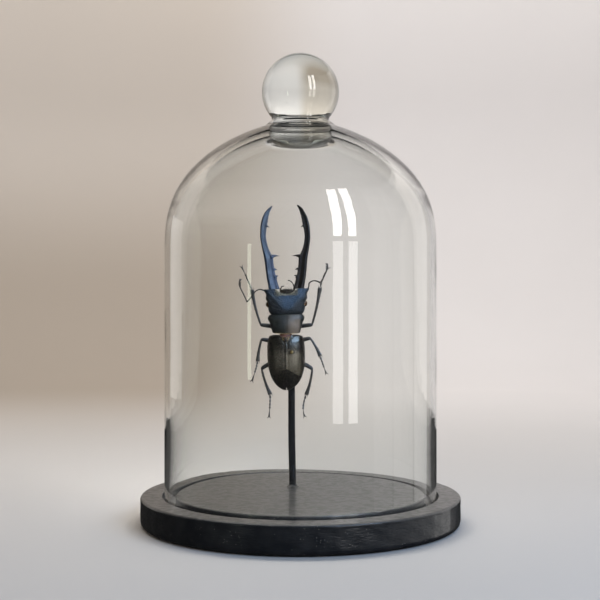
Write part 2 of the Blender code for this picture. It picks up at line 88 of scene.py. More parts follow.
# Frames of the beetle, of its chest and of its head, as the part sets them; lengths inside them are in mm
BEETLE_PLACE = (-6.6, 5.0, 83.35)
BEETLE_LEAN = math.radians(-0.6)
CHEST_OFFSET = 0.25
HEAD_OFFSET = 0.6
HEAD_TURN = math.radians(-0.53)
PIN_PLACE = (2.6, -7.9)
MILLIMETRES = Matrix.Scale(MM, 4)
BEETLE_FRAME = MILLIMETRES @ Matrix.Translation(BEETLE_PLACE) @ Matrix.Rotation(BEETLE_LEAN, 4, "Y")
CHEST_FRAME = BEETLE_FRAME @ Matrix.Translation((CHEST_OFFSET, 0.0, 0.0))
HEAD_FRAME = BEETLE_FRAME @ Matrix.Translation((HEAD_OFFSET, 0.0, 0.0)) @ Matrix.Rotation(HEAD_TURN, 4, "Y")

base_low, base_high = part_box("wood_base")
dome_low, dome_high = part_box("glass_dome")
rod_low, rod_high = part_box("rod")
BASE_RADIUS = (base_high.x - base_low.x) / 2.0
DOME_RADIUS = (dome_high.x - dome_low.x) / 2.0


def colour_property(label, hint, default):
    return FloatVectorProperty(
        name=label, description=hint, default=default, size=3, min=0.0, max=1.0, subtype="COLOR"
    )


def length_property(label, hint, default):
    return FloatProperty(
        name=label, description=hint, default=default, min=0.0, unit="LENGTH", subtype="DISTANCE"
    )


class CaseSizes(bpy.types.PropertyGroup):
    """Sizes of the base, dome, rod and pin."""

    base_radius: length_property("Base radius", "Outside of the wooden base", BASE_RADIUS)
    disc_top: length_property("Disc top", "Height of the raised inner disc", base_high.z)
    rim_drop: length_property("Rim drop", "How far the outer rim lies below the disc", 0.00055)
    disc_radius: length_property("Disc radius", "Radius of the inner disc", 0.05515)
    groove_radius: length_property("Groove radius", "Outer wall of the ring groove", 0.0613)
    groove_floor: length_property("Groove floor", "Height of the floor of the groove", 0.0094)
    dome_radius: length_property("Dome radius", "Outside of the dome", DOME_RADIUS)
    dome_wall: length_property("Dome wall", "Thickness of the glass at the sides", 0.0023)
    knob_radius: length_property("Knob radius", "Radius of the ball knob", 0.01725)
    rod_radius: length_property("Rod radius", "Radius of the upright rod", 0.0016)
    pin_head: length_property("Pin head", "Radius of the head of the brass pin", 0.0008)
    turn_steps: IntProperty(
        name="Turning steps", description="Sides of the turned pieces", default=240, min=24, max=720
    )


class BeetleDetail(bpy.types.PropertyGroup):
    """How finely the beetle is made and how hairy it is."""

    around: IntProperty(name="Around", description="Points round a body ring", default=112, min=16, max=256)
    along: IntProperty(name="Along", description="Rings along a body piece", default=84, min=12, max=256)
    limb_sides: IntProperty(name="Limb sides", description="Sides of a leg piece", default=16, min=6, max=48)
    mouth_hair: FloatProperty(
        name="Mouth hair", description="Hairs in the mouth brush, per square mm", default=22.0, min=0.0
    )
    fringe_hair: FloatProperty(
        name="Fringe hair", description="Pale hairs of the forehead, per square mm", default=42.0, min=0.0
    )


class FinishColours(bpy.types.PropertyGroup):
    """Colours of the finishes, as linear values."""

    paint: colour_property("Paint", "Satin black paint of the base", (0.009, 0.0105, 0.0135))
    glass: colour_property("Glass", "Tint of the glass surface", (0.985, 0.995, 0.988))
    glass_depth: colour_property("Glass depth", "Tint of thick glass", (0.86, 0.97, 0.9))
    brass: colour_property("Brass", "Brass of the pin", (0.72, 0.49, 0.2))
    # The blue jaw colour is the jaw's own blue-black with a painted reflection of the cool sky light.
    blue_jaw: colour_property("Blue jaw", "Steel-blue left jaw", (0.015, 0.029, 0.066))
    dark_jaw: colour_property("Dark jaw", "Near-black right jaw", (0.003, 0.0022, 0.0026))
    head: colour_property("Head", "Blue-black head", (0.003, 0.0045, 0.006))
    # The forehead colour is a blue bloom together with a painted reflection of the cool sky light.
    forehead: colour_property("Forehead", "Bluer bloom on the forehead", (0.026, 0.06, 0.115))
    chest: colour_property("Chest", "Black-brown chest", (0.004, 0.0032, 0.0028))
    wing: colour_property("Wing covers", "Black-brown wing covers", (0.003, 0.002, 0.0016))
    # The wing sheen colour is a painted reflection of the warm room, not a colour of the shell.
    wing_sheen: colour_property("Wing sheen", "Olive sheen of the wing covers", (0.052, 0.043, 0.029))
    leg: colour_property("Leg", "Black legs", (0.007, 0.007, 0.008))
    neck: colour_property("Neck", "Red-brown neck skin", (0.12, 0.03, 0.018))
    eye: colour_property("Eye", "Brown eyes", (0.075, 0.04, 0.018))
    gold_hair: colour_property("Gold hair", "Golden hairs by the scutellum", (0.62, 0.45, 0.2))
    pale_hair: colour_property("Pale hair", "Pale fringe of the forehead", (0.42, 0.4, 0.33))


class StudioSettings(bpy.types.PropertyGroup):
    """The floor, the lights and the camera."""

    floor: colour_property("Floor", "Pale floor", (0.67, 0.635, 0.6))
    # The wall colours paint shading from light falling from the right: painted shade on the left, painted
    # light at the top and on the right.
    wall_left_painted_shade: colour_property("Left wall", "Warm wall on the left", (0.41, 0.35, 0.29))
    wall_top_painted_light: colour_property("Top of the wall", "Lighter top of the left wall", (0.6, 0.54, 0.48))
    wall_right_painted_light: colour_property("Right wall", "Paler wall on the right", (0.76, 0.73, 0.72))
    sky: colour_property("Sky light", "Cool light of the sky", (0.44, 0.66, 1.0))
    leaf: colour_property("Leaf light", "Greenish light of the left window", (0.9, 1.0, 0.8))
    day: colour_property("Day light", "Light of the right window", (1.0, 0.985, 0.96))
    room: colour_property("Room light", "Soft light of the room", (1.0, 0.97, 0.93))
    room_strength: FloatProperty(
        name="Room strength", description="Strength of the room light", default=0.02, min=0.0
    )
    camera_distance: length_property("Camera distance", "Distance from the dome's axis", 0.4924)
    camera_height: length_property("Camera height", "Height over the floor", 0.0987)
    camera_lens: FloatProperty(
        name="Camera lens", description="Focal length on a 36 mm sensor", default=66.02, min=10.0,
        unit="CAMERA",
    )


# Shapes are pairs of a point array and a face list, in mm.


def smooth_path(stations, count):
    """Rows through the stations on a Catmull-Rom curve."""
    rows = np.asarray(stations, float)
    padded = np.vstack([2.0 * rows[0] - rows[1], rows, 2.0 * rows[-1] - rows[-2]])
    place = np.linspace(0.0, len(rows) - 1.0, count)
    first = np.minimum(place.astype(int), len(rows) - 2)
    t = (place - first)[:, None]
    a, b, c, d = (padded[first + k] for k in range(4))
    cubic = 3.0 * (b - c) + d - a
    return 0.5 * (2.0 * b + (c - a) * t + (2.0 * a - 5.0 * b + 4.0 * c - d) * t**2 + cubic * t**3)


def skin(rings):
    """A closed shape through rings of points, with a hub at each end."""
    rings = np.asarray(rings, float)
    count, around = rings.shape[:2]
    points = np.vstack([rings.reshape(-1, 3), rings[0].mean(axis=0), rings[-1].mean(axis=0)])
    faces = []
    for i in range(count - 1):
        for k in range(around):
            m = (k + 1) % around
            faces.append((i * around + k, i * around + m, (i + 1) * around + m, (i + 1) * around + k))
    last = (count - 1) * around
    for k in range(around):
        m = (k + 1) % around
        faces.append((m, k, count * around))
        faces.append((last + k, last + m, count * around + 1))
    return points, faces


def together(shapes):
    """Several shapes as one."""
    points, faces, offset = [], [], 0
    for shape_points, shape_faces in shapes:
        points.append(shape_points)
        faces += [tuple(index + offset for index in face) for face in shape_faces]
        offset += len(shape_points)
    return np.vstack(points), faces


def turned(profile, steps, wobble=0.0):
    """A profile of (radius, height) rows turned about the axis, from pole to pole, slightly out of round."""
    profile = np.asarray(profile, float)
    angle = np.linspace(0.0, 2.0 * math.pi, steps, endpoint=False)
    uneven = 1.0 + wobble * (np.sin(2.0 * angle + 0.7) + 0.6 * np.sin(3.0 * angle + 2.1))
    rings = [
        np.column_stack([r * uneven * np.cos(angle), r * uneven * np.sin(angle), np.full(steps, z)])
        for r, z in profile[1:-1]
    ]
    points, faces = skin(rings)
    points[-2] = (0.0, 0.0, profile[0][1])
    points[-1] = (0.0, 0.0, profile[-1][1])
    return points, faces


def signed_power(values, power):
    return np.sign(values) * np.abs(values) ** power


def ease(values, low, high):
    """A smooth step from low to high."""
    t = np.clip((values - low) / (high - low), 0.0, 1.0)
    return t * t * (3.0 - 2.0 * t)


def bump(values, centre, width):
    """A bell curve."""
    return np.exp(-(((values - centre) / width) ** 2))


def body(stations, around, along, squareness=2.15, relief=None):
    """A body piece through (z, half width, height, depth, side lift) rows; relief swells it."""
    angle = np.linspace(0.0, 2.0 * math.pi, around, endpoint=False)
    across = signed_power(np.cos(angle), 2.0 / squareness)
    rise = signed_power(np.sin(angle), 2.0 / squareness)
    rings = []
    for z, half_width, height, depth, lift in smooth_path(stations, along):
        x = half_width * across
        level = z + lift * np.minimum(1.0, np.abs(across) / 0.52) ** 2.7
        y = -np.where(rise > 0.0, rise * height, rise * depth)
        if relief:
            y = y - relief(x, level, rise) * np.clip(np.abs(rise) * 3.0, 0.0, 1.0) * np.sign(rise)
        rings.append(np.column_stack([x, y, level]))
    return skin(rings)


def limb(stations, sides, along):
    """A limb through (x, y, z, half width, half thickness) rows, wide in the plane of the back."""
    rows = smooth_path(stations, along)
    rows[:, 3:] = np.maximum(rows[:, 3:], 0.015)
    ahead = np.gradient(rows[:, :3], axis=0)
    ahead /= np.linalg.norm(ahead, axis=1)[:, None]
    across = np.column_stack([ahead[:, 2], np.zeros(len(rows)), -ahead[:, 0]])
    across /= np.maximum(np.linalg.norm(across, axis=1), 1e-6)[:, None]
    up = np.cross(across, ahead)
    angle = np.linspace(0.0, 2.0 * math.pi, sides, endpoint=False)
    rings = [
        row[:3] + np.outer(np.cos(angle) * row[3], side) + np.outer(np.sin(angle) * row[4], lift)
        for row, side, lift in zip(rows, across, up)
    ]
    return skin(rings)


def ball(centre, radii, around=28):
    """An ellipsoid."""
    turn = np.linspace(0.0, math.pi, around // 2 + 1)[1:-1]
    angle = np.linspace(0.0, 2.0 * math.pi, around, endpoint=False)
    rings = [
        np.column_stack([np.sin(t) * np.cos(angle), np.sin(t) * np.sin(angle), np.full(around, np.cos(t))])
        for t in turn
    ]
    points, faces = skin(rings)
    points[-2], points[-1] = (0.0, 0.0, 1.0), (0.0, 0.0, -1.0)
    return points * np.asarray(radii) + np.asarray(centre), faces


def spike(root, tip, radius, sides=8, curl=(0.0, 0.0, 0.0)):
    """A tapered thorn from root to tip, bowed by curl."""
    root, tip = np.asarray(root, float), np.asarray(tip, float)
    rows = []
    for t in np.linspace(0.0, 1.0, 7):
        point = root + (tip - root) * t + np.asarray(curl) * math.sin(math.pi * t)
        size = radius * max(0.06, 1.0 - t**1.3)
        rows.append((*point, size, size))
    return limb(rows, sides, 10)


def as_mesh(name, shape, place=BEETLE_FRAME):
    """A shape as a mesh in the world, its faces turned outward."""
    mesh = bpy.data.meshes.new(name)
    mesh.from_pydata(shape[0].tolist(), [], shape[1])
    mesh.transform(place)
    outward(mesh)
    return mesh


def outward(mesh):
    work = bmesh.new()
    work.from_mesh(mesh)
    bmesh.ops.recalc_face_normals(work, faces=work.faces)
    work.to_mesh(mesh)
    work.free()


def add_piece(name, mesh, material, slot, nodes=(), sharp=50.0):
    """Make a named object of a finished mesh, give it its slot, tie it to the root body and hide the nodes it
    stands for.
    """
    mesh.materials.clear()
    mesh.materials.append(material)
    mesh.shade_smooth()
    mesh.set_sharp_from_angle(angle=math.radians(sharp))
    piece = bpy.data.objects.new(name, mesh)
    bpy.context.scene.collection.objects.link(piece)
    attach(piece, "root")
    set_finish(piece, slot)
    if nodes:
        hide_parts(*nodes)
    return piece


# Node helpers


def node(tree, kind, **settings):
    made = tree.nodes.new(kind)
    for name, value in settings.items():
        setattr(made, name, value)
    return made


def feed(tree, socket, value):
    """Link an output socket to an input, or set the input to a plain value."""
    if isinstance(value, bpy.types.NodeSocket):
        tree.links.new(value, socket)
    elif isinstance(value, (tuple, list)) and len(value) == 3 and len(socket.default_value) == 4:
        socket.default_value = (*value, 1.0)
    else:
        socket.default_value = value


def maths(tree, operation, *values):
    made = node(tree, "ShaderNodeMath", operation=operation)
    for socket, value in zip(made.inputs, values):
        feed(tree, socket, value)
    return made.outputs[0]


def remap(tree, value, low, high, to_low=0.0, to_high=1.0):
    made = node(tree, "ShaderNodeMapRange", interpolation_type="SMOOTHSTEP")
    for socket, entry in zip(made.inputs, (value, low, high, to_low, to_high)):
        feed(tree, socket, entry)
    return made.outputs[0]


def blend(tree, factor, first, second):
    made = node(tree, "ShaderNodeMix", data_type="RGBA")
    feed(tree, made.inputs[0], factor)
    feed(tree, made.inputs[6], first)
    feed(tree, made.inputs[7], second)
    return made.outputs[2]


def noise(tree, vector, scale=1.0, detail=3.0):
    made = node(tree, "ShaderNodeTexNoise")
    feed(tree, made.inputs["Vector"], vector)
    feed(tree, made.inputs["Scale"], scale)
    feed(tree, made.inputs["Detail"], detail)
    return made.outputs[0]


def cells(tree, vector, scale=1.0):
    made = node(tree, "ShaderNodeTexVoronoi")
    feed(tree, made.inputs["Vector"], vector)
    feed(tree, made.inputs["Scale"], scale)
    return made.outputs["Distance"]


def start_group(name, inputs, outputs):
    """A shader node group with float inputs {name: default} and float outputs."""
    tree = bpy.data.node_groups.new(name, "ShaderNodeTree")
    for label, default in inputs.items():
        kind = "NodeSocketVector" if isinstance(default, tuple) else "NodeSocketFloat"
        tree.interface.new_socket(label, in_out="INPUT", socket_type=kind).default_value = default
    for label in outputs:
        tree.interface.new_socket(label, in_out="OUTPUT", socket_type="NodeSocketFloat")
    return tree, node(tree, "NodeGroupInput"), node(tree, "NodeGroupOutput")


def sized_coordinates(tree, size):
    """Object coordinates divided by a size in metres."""
    place = node(tree, "ShaderNodeTexCoord")
    divide = node(tree, "ShaderNodeVectorMath", operation="SCALE")
    feed(tree, divide.inputs[0], place.outputs["Object"])
    feed(tree, divide.inputs["Scale"], maths(tree, "DIVIDE", 1.0, size))
    return divide.outputs[0]


def build_grain_group():
    """Fine relief: grains of one size, stretched along an axis."""
    inputs = {"Size": 0.0002, "Stretch": (1.0, 1.0, 1.0)}
    tree, given, out = start_group("Fine grain", inputs, ("Height", "Mask"))
    stretch = node(tree, "ShaderNodeVectorMath", operation="MULTIPLY")
    feed(tree, stretch.inputs[0], sized_coordinates(tree, given.outputs["Size"]))
    feed(tree, stretch.inputs[1], given.outputs["Stretch"])
    soft = noise(tree, stretch.outputs[0])
    pits = remap(tree, cells(tree, stretch.outputs[0]), 0.1, 0.6)
    feed(tree, out.inputs["Height"], maths(tree, "ADD", soft, maths(tree, "MULTIPLY", pits, 0.5)))
    feed(tree, out.inputs["Mask"], remap(tree, soft, 0.4, 0.65))


def build_patch_group():
    """Soft uneven patches."""
    tree, given, out = start_group("Patches", {"Size": 0.002, "Sharpness": 0.2}, ("Mask",))
    cloud = noise(tree, sized_coordinates(tree, given.outputs["Size"]), 1.0, 4.0)
    half = given.outputs["Sharpness"]
    low, high = maths(tree, "SUBTRACT", 0.5, half), maths(tree, "ADD", 0.5, half)
    feed(tree, out.inputs["Mask"], remap(tree, cloud, low, high))


def build_dust_group():
    """Settled dust on what faces up, and specks everywhere."""
    tree, given, out = start_group("Dust", {"Film": 0.3, "Specks": 0.3, "Size": 0.0012}, ("Mask",))
    split = node(tree, "ShaderNodeSeparateXYZ")
    feed(tree, split.inputs[0], node(tree, "ShaderNodeNewGeometry").outputs["Normal"])
    up = remap(tree, split.outputs["Z"], 0.2, 0.95)
    coordinates = sized_coordinates(tree, given.outputs["Size"])
    settled = maths(tree, "MULTIPLY", up, noise(tree, coordinates, 0.6, 5.0))
    film = maths(tree, "MULTIPLY", settled, given.outputs["Film"])
    dots = remap(tree, cells(tree, coordinates), 0.16, 0.1)
    dots = maths(tree, "MULTIPLY", dots, remap(tree, noise(tree, coordinates, 0.23), 0.56, 0.62))
    specks = maths(tree, "MULTIPLY", dots, given.outputs["Specks"])
    feed(tree, out.inputs["Mask"], maths(tree, "MINIMUM", maths(tree, "ADD", film, specks), 1.0))


def place_group(tree, name, **values):
    made = node(tree, "ShaderNodeGroup", node_tree=bpy.data.node_groups[name])
    for label, value in values.items():
        feed(tree, made.inputs[label], value)
    return made.outputs


DUST_COLOUR = (0.36, 0.33, 0.29)


def surface(
    name, colour, other, roughness, grain=0.0002, relief=0.00002, stretch=(1.0, 1.0, 1.0), patch=0.002,
    film=0.15, specks=0.2, toned=None, coat=0.4, coat_roughness=0.1, specular=0.5, tint=(1.0, 1.0, 1.0),
    metallic=0.0,
):
    """A solid finish: two colours in patches, a third where the tone is high, fine relief and dust; on the
    head, jaws, chest and wing covers the tone is painted reflection and shade.
    """
    material = bpy.data.materials.new(name)
    material.use_nodes = True
    tree = material.node_tree
    shader = tree.nodes["Principled BSDF"]
    patches = place_group(tree, "Patches", Size=patch)["Mask"]
    shade = blend(tree, patches, colour, other)
    if toned:
        tone = node(tree, "ShaderNodeAttribute", attribute_name="tone").outputs["Fac"]
        shade = blend(tree, tone, shade, toned)
    fine = place_group(tree, "Fine grain", Size=grain, Stretch=stretch)
    dust = place_group(tree, "Dust", Film=film, Specks=specks)["Mask"]
    feed(tree, shader.inputs["Base Color"], blend(tree, dust, shade, DUST_COLOUR))
    uneven = maths(tree, "ADD", roughness - 0.05, maths(tree, "MULTIPLY", fine["Mask"], 0.1))
    dull = maths(tree, "ADD", uneven, maths(tree, "MULTIPLY", dust, 0.35))
    feed(tree, shader.inputs["Roughness"], dull)
    clean_coat = maths(tree, "SUBTRACT", coat, maths(tree, "MULTIPLY", dust, coat))
    feed(tree, shader.inputs["Coat Weight"], clean_coat)
    shader.inputs["Coat Roughness"].default_value = coat_roughness
    shader.inputs["Specular IOR Level"].default_value = specular
    feed(tree, shader.inputs["Specular Tint"], tint)
    shader.inputs["Metallic"].default_value = metallic
    raised = node(tree, "ShaderNodeBump")
    raised.inputs["Distance"].default_value = relief
    feed(tree, raised.inputs["Height"], fine["Height"])
    feed(tree, shader.inputs["Normal"], raised.outputs[0])
    return material


def glass_finish(name, colour, depth_colour):
    """Clear glass that lets the lamps' light through."""
    material = bpy.data.materials.new(name)
    material.use_nodes = True
    tree = material.node_tree
    shader = tree.nodes["Principled BSDF"]
    output = tree.nodes["Material Output"]
    smears = place_group(tree, "Patches", Size=0.018, Sharpness=0.3)["Mask"]
    dust = place_group(tree, "Dust", Film=0.05, Specks=0.25, Size=0.0021)["Mask"]
    feed(tree, shader.inputs["Base Color"], blend(tree, dust, colour, DUST_COLOUR))
    haze = maths(tree, "ADD", maths(tree, "MULTIPLY", smears, 0.012), maths(tree, "MULTIPLY", dust, 0.25))
    feed(tree, shader.inputs["Roughness"], haze)
    shader.inputs["Transmission Weight"].default_value = 1.0
    shader.inputs["IOR"].default_value = 1.5
    clear = node(tree, "ShaderNodeBsdfTransparent")
    mixed = node(tree, "ShaderNodeMixShader")
    feed(tree, mixed.inputs[0], node(tree, "ShaderNodeLightPath").outputs["Is Shadow Ray"])
    feed(tree, mixed.inputs[1], shader.outputs[0])
    feed(tree, mixed.inputs[2], clear.outputs[0])
    feed(tree, output.inputs["Surface"], mixed.outputs[0])
    thick = node(tree, "ShaderNodeVolumeAbsorption")
    feed(tree, thick.inputs["Color"], depth_colour)
    thick.inputs["Density"].default_value = 8.0
    feed(tree, output.inputs["Volume"], thick.outputs[0])
    return material


def build_finishes():
    """Every finish of the specimen and its case, by name."""
    build_grain_group()
    build_patch_group()
    build_dust_group()
    tints = bpy.context.scene.specimen_colours
    pick = {name: tuple(getattr(tints, name)) for name in FinishColours.__annotations__}
    surface(
        "base paint", pick["paint"], (0.02, 0.021, 0.023), 0.34, 0.0009, 0.00006, stretch=(0.35, 0.35, 1.0),
        patch=0.006, film=0.2, specks=0.6, coat=0.2,
    )
    surface(
        "rod lacquer", pick["leg"], (0.01, 0.01, 0.012), 0.12, 0.0006, 0.000004, stretch=(1.0, 1.0, 0.1),
        coat=0.6,
    )
    surface("black glue", pick["leg"], (0.02, 0.02, 0.02), 0.3, 0.0005, 0.00003)
    surface("brass", pick["brass"], (0.6, 0.37, 0.14), 0.26, 0.00015, 0.000005, metallic=1.0, coat=0.0)
    # The head's toned colour is the forehead bloom with a painted reflection of the sky light.
    surface(
        "head shell", pick["head"], (0.005, 0.006, 0.008), 0.4, 0.0006, 0.0004, patch=0.0011, film=0.06,
        specks=0.12, toned=pick["forehead"], specular=0.5, coat=0.1, coat_roughness=0.35,
    )
    # The jaws' toned colours paint a reflection of the sky light: strong blue on the left jaw, a faint
    # lighter brown on the right.
    surface(
        "blue jaw shell", (0.004, 0.006, 0.012), (0.006, 0.01, 0.018), 0.32, film=0.04, specks=0.1,
        toned=pick["blue_jaw"], specular=0.6, coat=0.15, coat_roughness=0.3,
    )
    surface(
        "dark jaw shell", pick["dark_jaw"], (0.004, 0.003, 0.003), 0.34, film=0.03, specks=0.1,
        toned=(0.007, 0.004, 0.004), coat=0.2, coat_roughness=0.3,
    )
    surface("mouth shell", (0.01, 0.007, 0.006), (0.02, 0.013, 0.009), 0.42)
    surface("feeler shell", (0.01, 0.008, 0.007), (0.016, 0.012, 0.009), 0.38, film=0.06, specks=0.1)
    # The chest's toned colour is a painted sheen, a reflection of the right windows.
    surface(
        "chest shell", pick["chest"], (0.006, 0.009, 0.007), 0.34, 0.0003, 0.00014, film=0.05, specks=0.12,
        toned=(0.11, 0.082, 0.062), patch=0.0016, coat=0.3, coat_roughness=0.3,
    )
    surface("neck skin", pick["neck"], (0.06, 0.02, 0.014), 0.4, toned=(0.02, 0.013, 0.011))
    # The wing shell's toned colour is a painted reflection of the warm room.
    surface(
        "wing shell", pick["wing"], (0.005, 0.0035, 0.0025), 0.28, 0.00032, 0.00001, film=0.03, specks=0.1,
        toned=pick["wing_sheen"], tint=(1.0, 0.93, 0.8), specular=0.8, coat=0.3, coat_roughness=0.22,
    )
    surface("belly shell", (0.018, 0.012, 0.01), (0.03, 0.018, 0.013), 0.3, 0.0003, 0.00003)
    surface(
        "leg shell", pick["leg"], (0.01, 0.0095, 0.009), 0.34, 0.00022, 0.000015, film=0.06, specks=0.1,
        specular=0.7, coat=0.3, coat_roughness=0.25,
    )
    surface("eye", pick["eye"], (0.05, 0.025, 0.012), 0.16, 0.00009, 0.00001, coat=1.0, coat_roughness=0.03)
    surface("gold hair", pick["gold_hair"], (0.5, 0.34, 0.15), 0.4, coat=0.0, film=0.0, specks=0.0)
    surface("pale hair", pick["pale_hair"], (0.3, 0.28, 0.2), 0.5, coat=0.0, film=0.0, specks=0.0)
    surface("dark hair", (0.03, 0.022, 0.014), (0.05, 0.035, 0.02), 0.45, coat=0.0, film=0.0, specks=0.0)
    surface("lint", (0.5, 0.47, 0.42), (0.35, 0.33, 0.3), 0.8, coat=0.0, film=0.0, specks=0.0)
    glass_finish("clear glass", pick["glass"], pick["glass_depth"])


def finish(name):
    return bpy.data.materials[name]


# The case


def arc_rows(centre, radius, start, end, steps):
    """(radius, height) rows on an arc, angles in degrees."""
    angle = np.radians(np.linspace(start, end, steps + 1))
    return np.column_stack([centre[0] + radius * np.cos(angle), centre[1] + radius * np.sin(angle)])


def between(start, end, steps):
    """Rows on the straight line from start to end, without its first point."""
    return np.linspace(start, end, steps + 1)[1:]


def rounded(start, corner, end, radius, steps=6):
    """Rows round a corner of a profile."""
    start, corner, end = (np.asarray(point, float) for point in (start, corner, end))
    first = corner + (start - corner) / np.linalg.norm(start - corner) * radius
    last = corner + (end - corner) / np.linalg.norm(end - corner) * radius
    t = np.linspace(0.0, 1.0, steps + 1)[:, None]
    return (1.0 - t) ** 2 * first + 2.0 * t * (1.0 - t) * corner + t**2 * last


DISC_DENTS = ((-12.3, -18.3, 2.6, 1.1, 0.18), (20.9, -8.6, 3.0, 1.3, 0.2), (31.7, -44.0, 1.6, 1.4, 0.5))
RIM_KNOCKS = 46
EDGE_ROUND = 0.8
FOOT_ROUND = 2.4


class SPECIMEN_OT_base(bpy.types.Operator):
    """Turn the black wooden base with its ring groove, its dents and its brushed side"""

    bl_idname = "specimen.base"
    bl_label = "Wooden base"

    def execute(self, context):
        sizes = context.scene.specimen_case
        outer, disc, groove = sizes.base_radius / MM, sizes.disc_radius / MM, sizes.groove_radius / MM
        top, floor = sizes.disc_top / MM, sizes.groove_floor / MM
        rim = top - sizes.rim_drop / MM
        corners = [(0.0, top), (disc, top), (disc, floor), (groove, floor), (groove, rim)]
        corners += [(outer, rim), (outer, 0.0)]
        rows = [np.array([[0.0, top]]), between((0.0, top), (disc - EDGE_ROUND, top), 60)]
        for i, radius in ((1, EDGE_ROUND), (2, 0.3), (3, 0.3), (4, EDGE_ROUND / 2.0), (5, 1.3)):
            bend = rounded(corners[i - 1], corners[i], corners[i + 1], radius)
            if i > 1:
                rows.append(between(rows[-1][-1], bend[0], 14 if i == 5 else 3)[:-1])
            rows.append(bend)
        rows.append(between(rows[-1][-1], (outer, FOOT_ROUND), 16)[:-1])
        rows.append(arc_rows((outer - FOOT_ROUND, FOOT_ROUND), FOOT_ROUND, 0.0, -90.0, 8))
        rows.append(between((outer - FOOT_ROUND, 0.0), (0.0, 0.0), 8))
        points, faces = turned(np.vstack(rows), sizes.turn_steps)
        wear_base(points, outer, rim)
        mesh = as_mesh("base_block", (points, faces), MILLIMETRES)
        add_piece("base_block", mesh, finish("base paint"), "black_painted_wood", ["wood_base"])
        return {"FINISHED"}


def wear_base(points, outer, rim):
    """Dents in the disc, knocks along the top edge and uneven paint on the side."""
    x, y, z = points.T
    disc = z > rim + 0.3
    for centre_x, centre_y, wide, deep, depth in DISC_DENTS:
        fall = np.exp(-(((x - centre_x) / wide) ** 2) - ((y - centre_y) / deep) ** 2)
        points[:, 2] -= np.where(disc, depth * fall, 0.0)
    angle, reach = np.arctan2(y, x), np.hypot(x, y)
    rng = np.random.default_rng(7)
    edge = np.exp(-(((reach - outer) / 2.0) ** 2)) * np.exp(-(((z - rim) / 1.6) ** 2))
    for _ in range(RIM_KNOCKS):
        place, wide, depth = rng.uniform(-math.pi, math.pi), rng.uniform(0.006, 0.02), rng.uniform(-0.12, 0.2)
        gap = np.angle(np.exp(1j * (angle - place)))
        points[:, 2] -= depth * edge * np.exp(-((gap / wide) ** 2))
    side = (reach > outer - 0.3) & (z > 1.0) & (z < rim - 1.0)
    swell = 0.05 * np.sin(31.0 * angle + 0.8 * z) + 0.04 * np.sin(57.0 * angle + 1.3)
    points[:, :2] *= np.where(side, 1.0 - (0.1 + swell) / outer, 1.0)[:, None]


SHOULDER_START = 120.7
SHOULDER_RISE = 2.59
SHOULDER_ROUND = 1.49
CROWN_WALL = 4.2
NECK_FOOT = 178.6
NECK_RADIUS = 13.0
NECK_FLARE = 15.6
BLOB_RADIUS = 13.5
BLOB_DROP = 4.6
LIP_ROUND = 1.1


def shoulder_rows(radius, height, steps, last=1.0):
    """The rounded shoulder of the dome, from its side towards the axis."""
    rise = np.sin(0.5 * math.pi * np.linspace(0.0, last, steps + 1))
    inward = np.maximum(0.0, 1.0 - rise**SHOULDER_RISE) ** (1.0 / SHOULDER_ROUND)
    return np.column_stack([radius * inward, SHOULDER_START + height * rise])


class SPECIMEN_OT_dome(bpy.types.Operator):
    """Blow the glass dome with its thick crown, pressed blob and solid ball knob"""

    bl_idname = "specimen.dome"
    bl_label = "Glass dome"

    def execute(self, context):
        sizes = context.scene.specimen_case
        radius, wall, ball_radius = sizes.dome_radius / MM, sizes.dome_wall / MM, sizes.knob_radius / MM
        top, foot = dome_high.z / MM, dome_low.z / MM
        height = NECK_FOOT - SHOULDER_START + 0.8
        centre = top - ball_radius
        neck_angle = -math.degrees(math.acos(NECK_RADIUS / ball_radius))
        knob = arc_rows((0.0, centre), ball_radius, 90.0, neck_angle, 46)
        knob[0] = (0.0, top)
        shoulder = shoulder_rows(radius, height, 60, 0.92)[::-1]
        shoulder = shoulder[shoulder[:, 0] > NECK_FLARE]
        waist = [knob[-1], (NECK_RADIUS - 0.15, NECK_FOOT + 0.3), (14.1, 178.0), shoulder[0]]
        neck = smooth_path(waist, 14)[1:-1]
        lip = arc_rows((radius - LIP_ROUND, foot + LIP_ROUND), LIP_ROUND, 0.0, -180.0, 10)
        inner_height = height - CROWN_WALL
        inside = shoulder_rows(radius - wall, inner_height, 60, 0.92)
        inside = inside[inside[:, 0] > BLOB_RADIUS + 1.6]
        ceiling = SHOULDER_START + inner_height
        blob = [inside[-1], (BLOB_RADIUS - 1.0, ceiling - 0.62 * BLOB_DROP)]
        blob += [(0.55 * BLOB_RADIUS, ceiling - 0.95 * BLOB_DROP), (0.0, ceiling - BLOB_DROP)]
        blob = smooth_path(blob, 18)[1:]
        rows = [knob, neck, shoulder, between(shoulder[-1], (radius, foot + LIP_ROUND), 40)[:-1], lip]
        rows += [between(lip[-1], (radius - wall, SHOULDER_START), 40)[:-1], inside, blob]
        profile = np.vstack(rows)
        profile[-1, 0] = 0.0
        points, faces = turned(profile, sizes.turn_steps, 0.0006)
        wavy = 0.07 * np.sin(points[:, 2] / 7.0 + 2.0 * np.arctan2(points[:, 1], points[:, 0]))
        reach = np.hypot(points[:, 0], points[:, 1])
        inner = reach < radius - 0.5 * wall
        ripple = np.where(inner & (reach > radius - 2.0 * wall), wavy / np.maximum(reach, 1.0), 0.0)
        points[:, :2] *= (1.0 + ripple)[:, None]
        mesh = as_mesh("dome", (points, faces), MILLIMETRES)
        add_piece("dome", mesh, finish("clear glass"), "clear_glass", ["glass_dome"], 80.0)
        return {"FINISHED"}


ROD_FOOT = (-3.6, 12.3)
ROD_TOP = 80.0
ROD_LEAN = math.radians(-0.66)
COLLAR_REACH = 2.7


